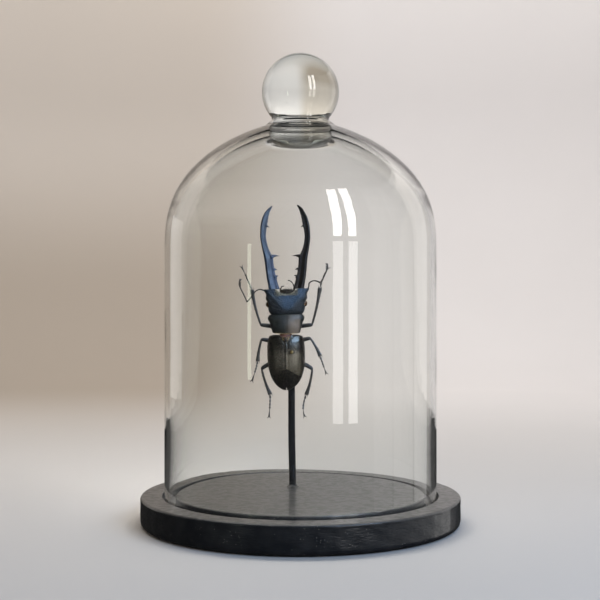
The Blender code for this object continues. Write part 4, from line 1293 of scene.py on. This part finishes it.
def build_leg(pair, name, detail):
    """One leg, from its root to its claws, with its bristles."""
    side = SIDES[name]
    inner, outer, level, depth = COXAE[pair]
    coxa = [(side * (inner + (outer - inner) * t), depth, level, 0.95 * s, 0.7 * s) for t, s in COXA_STEPS]
    knee, shin_end, foot_middle, foot_end = LEGS[pair, name]
    root = (side * (outer - 0.2), depth, level)
    femur, _, _ = limb_rows(root, knee, FEMUR_STEPS, -side * FEMUR_ARCH[pair])
    start = np.asarray(knee) + (np.asarray(shin_end) - knee) * 0.015
    bow = TIBIA_BOW[pair] * side * (1.0 if pair == "fore" else -1.0)
    tibia, ahead, across = limb_rows(start, shin_end, TIBIA_STEPS, bow)
    shapes = [limb(tibia, detail.limb_sides, 60)]
    for reach in SPURS:
        tip = np.asarray(shin_end) + ahead * 1.15 + across * reach * 1.25
        shapes.append(spike(np.asarray(shin_end) - ahead * 0.3 + across * reach * 0.6, tip, 0.2))
    outside = side if ahead[2] > 0.0 else -side
    for place in THORNS[pair]:
        at = start + (np.asarray(shin_end) - start) * place + across * bow * math.sin(math.pi * place)
        tip = at + across * outside * (1.05 + 0.25 * place) + ahead * 0.5
        shapes.append(spike(at + across * outside * 0.3, tip, 0.19))
    pieces = {
        "coxa": limb(coxa, detail.limb_sides, 20),
        "femur": limb(femur, detail.limb_sides, 50),
        "tibia": together(shapes),
        "tarsus": tarsus_shape(np.asarray(shin_end) - ahead * 0.1, foot_middle, foot_end),
    }
    for part, shape in pieces.items():
        title = f"{part}_{pair}_{name}"
        mesh = as_mesh(f"{title}_shell", shape)
        if part in ("tibia", "tarsus"):
            add_tone(mesh, np.full(len(mesh.vertices), 1.0), "bristly")
        add_piece(f"{title}_shell", mesh, finish("leg shell"), "leg_shell", [title], 60.0)
    for part, density, length in (("tibia", 1.1, 0.5), ("tarsus", 2.4, 0.4)):
        title = f"{part}_{pair}_{name}"
        source = bpy.data.objects[f"{title}_shell"]
        grow_hair(
            f"{title}_bristles", source, "bristly", density, length, 0.035, (0.6, 0.6, 0.5), 21,
            "dark hair", "leg_shell",
        )


class SPECIMEN_OT_legs(bpy.types.Operator):
    """Model the six legs with their spurs, bristles and claws"""

    bl_idname = "specimen.legs"
    bl_label = "Legs"

    def execute(self, context):
        for pair, name in LEGS:
            build_leg(pair, name, context.scene.specimen_detail)
        return {"FINISHED"}


HAIR_INPUTS = (
    ("Geometry", "NodeSocketGeometry", None), ("Density", "NodeSocketFloat", 1000000.0),
    ("Length", "NodeSocketFloat", 0.001), ("Thickness", "NodeSocketFloat", 0.00003),
    ("Tumble", "NodeSocketVector", (0.3, 0.3, 0.3)), ("Seed", "NodeSocketInt", 1),
    ("Material", "NodeSocketMaterial", None),
)


def build_hair_tree():
    """Hairs on the part of a surface where the attribute 'growth' is high."""
    tree = bpy.data.node_groups.new("Hairs on a shell", "GeometryNodeTree")
    for label, kind, default in HAIR_INPUTS:
        socket = tree.interface.new_socket(label, in_out="INPUT", socket_type=kind)
        if default is not None:
            socket.default_value = default
    tree.interface.new_socket("Geometry", in_out="OUTPUT", socket_type="NodeSocketGeometry")
    given, out = node(tree, "NodeGroupInput"), node(tree, "NodeGroupOutput")
    growth = node(tree, "GeometryNodeInputNamedAttribute", data_type="FLOAT")
    growth.inputs["Name"].default_value = "growth"
    scatter = node(tree, "GeometryNodeDistributePointsOnFaces")
    feed(tree, scatter.inputs["Mesh"], given.outputs["Geometry"])
    thickly = maths(tree, "MULTIPLY", growth.outputs[0], given.outputs["Density"])
    feed(tree, scatter.inputs["Density"], thickly)
    feed(tree, scatter.inputs["Seed"], given.outputs["Seed"])
    hair = node(tree, "GeometryNodeMeshCone", fill_type="TRIANGLE_FAN")
    hair.inputs["Vertices"].default_value = 5
    hair.inputs["Side Segments"].default_value = 4
    hair.inputs["Radius Top"].default_value = 0.0
    feed(tree, hair.inputs["Radius Bottom"], given.outputs["Thickness"])
    feed(tree, hair.inputs["Depth"], given.outputs["Length"])
    bent = node(tree, "GeometryNodeSetPosition")
    feed(tree, bent.inputs["Geometry"], hair.outputs["Mesh"])
    split = node(tree, "ShaderNodeSeparateXYZ")
    feed(tree, split.inputs[0], node(tree, "GeometryNodeInputPosition").outputs[0])
    share = maths(tree, "DIVIDE", split.outputs["Z"], given.outputs["Length"])
    rising = maths(tree, "MULTIPLY", share, share)
    curl = maths(tree, "MULTIPLY", rising, maths(tree, "MULTIPLY", given.outputs["Length"], 0.45))
    offset = node(tree, "ShaderNodeCombineXYZ")
    feed(tree, offset.inputs["X"], curl)
    feed(tree, bent.inputs["Offset"], offset.outputs[0])
    tumble = node(tree, "FunctionNodeRandomValue", data_type="FLOAT_VECTOR")
    turn = node(tree, "ShaderNodeVectorMath", operation="SCALE")
    feed(tree, turn.inputs[0], given.outputs["Tumble"])
    turn.inputs["Scale"].default_value = -1.0
    feed(tree, tumble.inputs[0], turn.outputs[0])
    feed(tree, tumble.inputs[1], given.outputs["Tumble"])
    feed(tree, tumble.inputs["Seed"], given.outputs["Seed"])
    rotate = node(tree, "FunctionNodeRotateRotation", rotation_space="LOCAL")
    feed(tree, rotate.inputs[0], scatter.outputs["Rotation"])
    feed(tree, rotate.inputs[1], tumble.outputs[0])
    size = node(tree, "FunctionNodeRandomValue", data_type="FLOAT")
    size.inputs[2].default_value = 0.5
    size.inputs[3].default_value = 1.2
    plant = node(tree, "GeometryNodeInstanceOnPoints")
    feed(tree, plant.inputs["Points"], scatter.outputs["Points"])
    feed(tree, plant.inputs["Instance"], bent.outputs[0])
    feed(tree, plant.inputs["Rotation"], rotate.outputs[0])
    feed(tree, plant.inputs["Scale"], size.outputs[1])
    real = node(tree, "GeometryNodeRealizeInstances")
    feed(tree, real.inputs[0], plant.outputs[0])
    paint = node(tree, "GeometryNodeSetMaterial")
    feed(tree, paint.inputs["Geometry"], real.outputs[0])
    feed(tree, paint.inputs["Material"], given.outputs["Material"])
    feed(tree, out.inputs[0], paint.outputs[0])


def grow_hair(name, source, growth, density, length, thickness, tumble, seed, material, slot):
    """Grow hairs of these mm on a piece where its growth attribute is high, as a piece of their own."""
    tree = bpy.data.node_groups.get("Hairs on a shell")
    inputs = {item.name: item.identifier for item in tree.interface.items_tree if item.in_out == "INPUT"}
    mesh = source.data.copy()
    mesh.attributes[growth].name = "growth"
    holder = bpy.data.objects.new(name, mesh)
    bpy.context.scene.collection.objects.link(holder)
    grow = holder.modifiers.new("hair", "NODES")
    grow.node_group = tree
    grow[inputs["Density"]] = density / MM**2
    grow[inputs["Length"]] = length * MM
    grow[inputs["Thickness"]] = thickness * MM
    grow[inputs["Tumble"]] = tumble
    grow[inputs["Seed"]] = seed
    grow[inputs["Material"]] = finish(material)
    add_piece(name, plain_mesh(holder, name), finish(material), slot)


class SPECIMEN_OT_dust(bpy.types.Operator):
    """Scatter specks of dust and short lint on the disc inside the dome"""

    bl_idname = "specimen.dust"
    bl_label = "Dust and lint"

    def execute(self, context):
        sizes = context.scene.specimen_case
        base = bpy.data.objects["base_block"]
        points = np.array([vert.co for vert in base.data.vertices])
        reach = np.hypot(points[:, 0], points[:, 1])
        on_disc = (points[:, 2] > sizes.disc_top - 0.0004) & (reach < sizes.disc_radius - 0.002)
        add_tone(base.data, on_disc.astype(float), "dusty")
        paint = "black_painted_wood"
        grow_hair("lint", base, "dusty", 0.0045, 0.9, 0.035, (1.5, 1.5, 3.0), 31, "lint", paint)
        grow_hair("dust_specks", base, "dusty", 0.03, 0.1, 0.06, (1.0, 1.0, 3.0), 33, "lint", paint)
        return {"FINISHED"}


# The studio

FLOOR_REACH = 1.15
FLOOR_CURVE = 0.4
WALL_TOP = 1.0
BACK_WALL_START = 0.35
BACK_WALL_BLEND = 0.02
SWEEP_SIDES = 96
SWEEP_DROP = 0.0002
# The paper as it shows in reflections of the front half, which would otherwise veil the blacks in the dome
MIRRORED_PAPER = (0.05, 0.048, 0.045)
PAPER_SHADE = (0.3, 0.27, 0.24)
PAPER_UNEVEN = 0.08
# Where the floor's tone turns into the wall's, the left wall's painted shade into the right wall's painted
# light, and painted light makes it grow lighter upward
WALL_NEAR, WALL_FAR = 0.08, 0.75
WALL_LEFT, WALL_RIGHT = -0.16, 0.1
WALL_LOW, WALL_HIGH = 0.1, 0.34
CAMERA_SHIFT = -0.0008
LAMP_AIM = 0.105
# Lamps: (name, azimuth from the front, height, distance, width, tall, radiance, colour, what it lights)
LAMPS = (
    ("right window near pane, low", 28.5, 0.075, 0.5, 0.07, 0.15, 4.6, "day", "object"),
    ("right window near pane, high", 28.5, 0.345, 0.5, 0.07, 0.38, 13.0, "day", "glass"),
    ("right window far pane, low", 40.5, 0.075, 0.5, 0.065, 0.15, 5.6, "day", "object"),
    ("right window far pane, high", 40.5, 0.345, 0.5, 0.065, 0.38, 13.0, "day", "glass"),
    ("right wall edge", 68.0, 0.2, 0.6, 0.2, 0.78, 0.45, "day", "object"),
    ("right wall", 90.0, 0.2, 0.6, 0.26, 0.78, 0.6, "day", "object"),
    ("right wall far side", 114.0, 0.2, 0.6, 0.24, 0.78, 1.1, "day", "object"),
    ("left window", -39.0, 0.09, 0.5, 0.026, 0.11, 5.0, "leaf", "object"),
    ("far left window", -122.0, 0.12, 0.55, 0.22, 0.22, 0.8, "day", "object"),
    ("sky window", 42.0, 0.46, 0.62, 0.55, 0.42, 4.0, "sky", "all but glass"),
    ("sky card", 30.0, 0.172, 0.19, 0.13, 0.06, 7.0, "sky", "beetle"),
    ("right card", 26.0, 0.05, 0.19, 0.14, 0.085, 1.2, "room", "beetle"),
    ("left card", -24.0, 0.05, 0.19, 0.13, 0.085, 0.4, "room", "beetle"),
)
# Overhead softboxes: (name, place, target, wide, tall, radiance), in metres
SOFTBOXES = (
    ("overhead softbox", (0.0, 0.1, 1.3), (0.0, 0.0, 0.0), 1.5, 1.5, 0.35),
    ("back wall wash", (0.0, 0.5, 1.25), (0.0, 0.95, 0.15), 1.3, 0.4, 7.4),
)
GLASS_SLOT = "clear_glass"
UNLIT = {
    "object": (),
    "all but glass": (GLASS_SLOT,),
    "beetle": (GLASS_SLOT, "black_painted_wood", "gloss_black_rod", "black_glue"),
}


def lit_pieces(kind):
    """A collection of what a lamp lights: the object, the beetle, the glass, or all but the glass."""
    chosen = bpy.data.collections.get(kind)
    if chosen:
        return chosen
    chosen = bpy.data.collections.new(kind)
    for thing in bpy.context.scene.objects:
        slot = thing.get("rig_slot")
        if kind == "glass":
            lit = slot == GLASS_SLOT
        else:
            lit = slot not in UNLIT[kind] and (kind == "all but glass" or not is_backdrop(thing))
        if thing.type == "MESH" and lit:
            chosen.objects.link(thing)
    return chosen


def add_lamp(name, place, target, wide, tall, radiance, colour, kind):
    """A lamp unseen by the camera and through the glass; one that misses the glass is sampled directly."""
    lamp = bpy.data.lights.new(name, "AREA")
    lamp.shape = "RECTANGLE"
    lamp.size, lamp.size_y = wide, tall
    lamp.energy = radiance * math.pi * wide * tall
    lamp.color = colour
    lamp.cycles.use_multiple_importance_sampling = kind in ("object", "glass")
    holder = bpy.data.objects.new(name, lamp)
    holder.location = place
    holder.rotation_euler = (Vector(target) - Vector(place)).to_track_quat("-Z", "Y").to_euler()
    holder.visible_camera = False
    holder.visible_transmission = False
    holder.light_linking.receiver_collection = lit_pieces(kind)
    bpy.context.scene.collection.objects.link(holder)


def paper_finish(studio):
    """Pale paper; painted shade makes the left of the wall a little darker and warmer, and painted light
    makes its top and its right paler.
    """
    paper = bpy.data.materials.new("pale paper")
    paper.use_nodes = True
    tree = paper.node_tree
    shader = tree.nodes["Principled BSDF"]
    cloud = place_group(tree, "Patches", Size=0.3, Sharpness=0.4)["Mask"]
    split = node(tree, "ShaderNodeSeparateXYZ")
    feed(tree, split.inputs[0], node(tree, "ShaderNodeTexCoord").outputs["Object"])
    wall = remap(tree, split.outputs["Y"], WALL_NEAR, WALL_FAR)
    across = remap(tree, split.outputs["X"], WALL_LEFT, WALL_RIGHT)
    rising = remap(tree, split.outputs["Z"], WALL_LOW, WALL_HIGH)
    # Painted shade on the left of the wall, lifted by painted light towards its top, and painted light on its
    # right.
    left = blend(tree, rising, tuple(studio.wall_left_painted_shade), tuple(studio.wall_top_painted_light))
    backdrop = blend(tree, across, left, tuple(studio.wall_right_painted_light))
    pale = blend(tree, wall, tuple(studio.floor), backdrop)
    uneven = blend(tree, maths(tree, "MULTIPLY", cloud, PAPER_UNEVEN), pale, PAPER_SHADE)
    behind = remap(tree, split.outputs["Y"], BACK_WALL_START - BACK_WALL_BLEND, BACK_WALL_START)
    mirrored = maths(tree, "MINIMUM", node(tree, "ShaderNodeLightPath").outputs["Glossy Depth"], 1.0)
    hidden = maths(tree, "MULTIPLY", maths(tree, "SUBTRACT", 1.0, behind), mirrored)
    feed(tree, shader.inputs["Base Color"], blend(tree, hidden, uneven, MIRRORED_PAPER))
    shader.inputs["Roughness"].default_value = 0.9
    return paper


def lay_sweep(studio):
    """The floor, curved up into a round wall, in a back and a front half; glossy pieces see only the back."""
    paper = paper_finish(studio)
    flat = FLOOR_REACH - FLOOR_CURVE
    rows = [between((0.0, 0.0), (flat, 0.0), 8)]
    rows.append(arc_rows((flat, FLOOR_CURVE), FLOOR_CURVE, -90.0, 0.0, 24)[1:])
    rows.append(between((FLOOR_REACH, FLOOR_CURVE), (FLOOR_REACH, WALL_TOP), 6))
    angle = np.linspace(0.0, 2.0 * math.pi, SWEEP_SIDES, endpoint=False)
    rings = [
        np.column_stack([r * np.cos(angle), r * np.sin(angle), np.full(SWEEP_SIDES, z - SWEEP_DROP)])
        for r, z in np.vstack(rows)
    ]
    points, faces = skin(rings)
    faces = [face for face in faces if len(points) - 1 not in face]
    behind = [points[list(face)].mean(axis=0)[1] > BACK_WALL_START for face in faces]
    for name, wanted in (("studio_back", True), ("studio_front", False)):
        sweep = bpy.data.meshes.new(name)
        kept = [face for face, back in zip(faces, behind) if back == wanted]
        sweep.from_pydata(points.tolist(), [], kept)
        clean = bmesh.new()
        clean.from_mesh(sweep)
        loose = [vert for vert in clean.verts if not vert.link_faces]
        bmesh.ops.delete(clean, geom=loose, context="VERTS")
        clean.to_mesh(sweep)
        clean.free()
        sweep.materials.append(paper)
        sweep.shade_smooth()
        holder = bpy.data.objects.new(name, sweep)
        holder.visible_glossy = wanted
        bpy.context.scene.collection.objects.link(holder)
        holder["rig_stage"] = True


class SPECIMEN_OT_stage(bpy.types.Operator):
    """Set the pale floor, the soft lamps, the world and the camera"""

    bl_idname = "specimen.stage"
    bl_label = "Stage"

    def execute(self, context):
        studio = context.scene.specimen_studio
        lay_sweep(studio)
        for name, azimuth, height, distance, wide, tall, radiance, colour, kind in LAMPS:
            turn = math.radians(azimuth)
            place = (distance * math.sin(turn), -distance * math.cos(turn), height)
            target = (0.0, 0.0, min(height, LAMP_AIM))
            add_lamp(name, place, target, wide, tall, radiance, getattr(studio, colour), kind)
        for name, place, target, wide, tall, radiance in SOFTBOXES:
            add_lamp(name, place, target, wide, tall, radiance, studio.room, "all but glass")
        world = bpy.data.worlds.new("dim room")
        world.use_nodes = True
        backing = world.node_tree.nodes["Background"]
        backing.inputs["Color"].default_value = (*studio.room, 1.0)
        backing.inputs["Strength"].default_value = studio.room_strength
        context.scene.world = world
        context.scene.view_settings.view_transform = "Standard"
        self.set_camera(context, studio)
        return {"FINISHED"}

    def set_camera(self, context, studio):
        """A level camera in front of the beetle's back."""
        eye = bpy.data.cameras.new("camera")
        eye.lens = studio.camera_lens
        eye.sensor_width = 36.0
        eye.shift_x = CAMERA_SHIFT
        eye.clip_start = 0.01
        holder = bpy.data.objects.new("camera", eye)
        holder.location = (0.0, -studio.camera_distance, studio.camera_height)
        holder.rotation_euler = (math.radians(90.0), 0.0, 0.0)
        context.scene.collection.objects.link(holder)
        context.scene.camera = holder


STEPS = (
    SPECIMEN_OT_base, SPECIMEN_OT_dome, SPECIMEN_OT_rod, SPECIMEN_OT_pin, SPECIMEN_OT_head, SPECIMEN_OT_jaws,
    SPECIMEN_OT_mouth, SPECIMEN_OT_antennae, SPECIMEN_OT_chest, SPECIMEN_OT_neck, SPECIMEN_OT_underside,
    SPECIMEN_OT_wings, SPECIMEN_OT_legs, SPECIMEN_OT_dust, SPECIMEN_OT_stage,
)
GROUPS = {
    "specimen_case": CaseSizes,
    "specimen_detail": BeetleDetail,
    "specimen_colours": FinishColours,
    "specimen_studio": StudioSettings,
}


class SPECIMEN_PT_panel(bpy.types.Panel):
    """Lists the build steps and their sizes"""

    bl_idname = "SPECIMEN_PT_panel"
    bl_label = "Stag beetle under glass"
    bl_space_type = "VIEW_3D"
    bl_region_type = "UI"
    bl_category = "Specimen"

    def draw(self, context):
        for step in STEPS:
            self.layout.operator(step.bl_idname)
        for group in GROUPS:
            box = self.layout.box()
            settings = getattr(context.scene, group)
            for name in settings.__annotations__:
                box.prop(settings, name)


def register():
    for group in GROUPS.values():
        bpy.utils.register_class(group)
    for step in (*STEPS, SPECIMEN_PT_panel):
        bpy.utils.register_class(step)
    for name, group in GROUPS.items():
        setattr(bpy.types.Scene, name, PointerProperty(type=group))


def unregister():
    for name in GROUPS:
        delattr(bpy.types.Scene, name)
    for made in (SPECIMEN_PT_panel, *reversed(STEPS), *GROUPS.values()):
        bpy.utils.unregister_class(made)


def corners(bounds):
    return [[float(value) for value in corner] for corner in bounds]


def main():
    register()
    build_finishes()
    build_hair_tree()
    for step in STEPS:
        family, action = step.bl_idname.split(".")
        getattr(getattr(bpy.ops, family), action)()


if __name__ == "__main__":
    main()
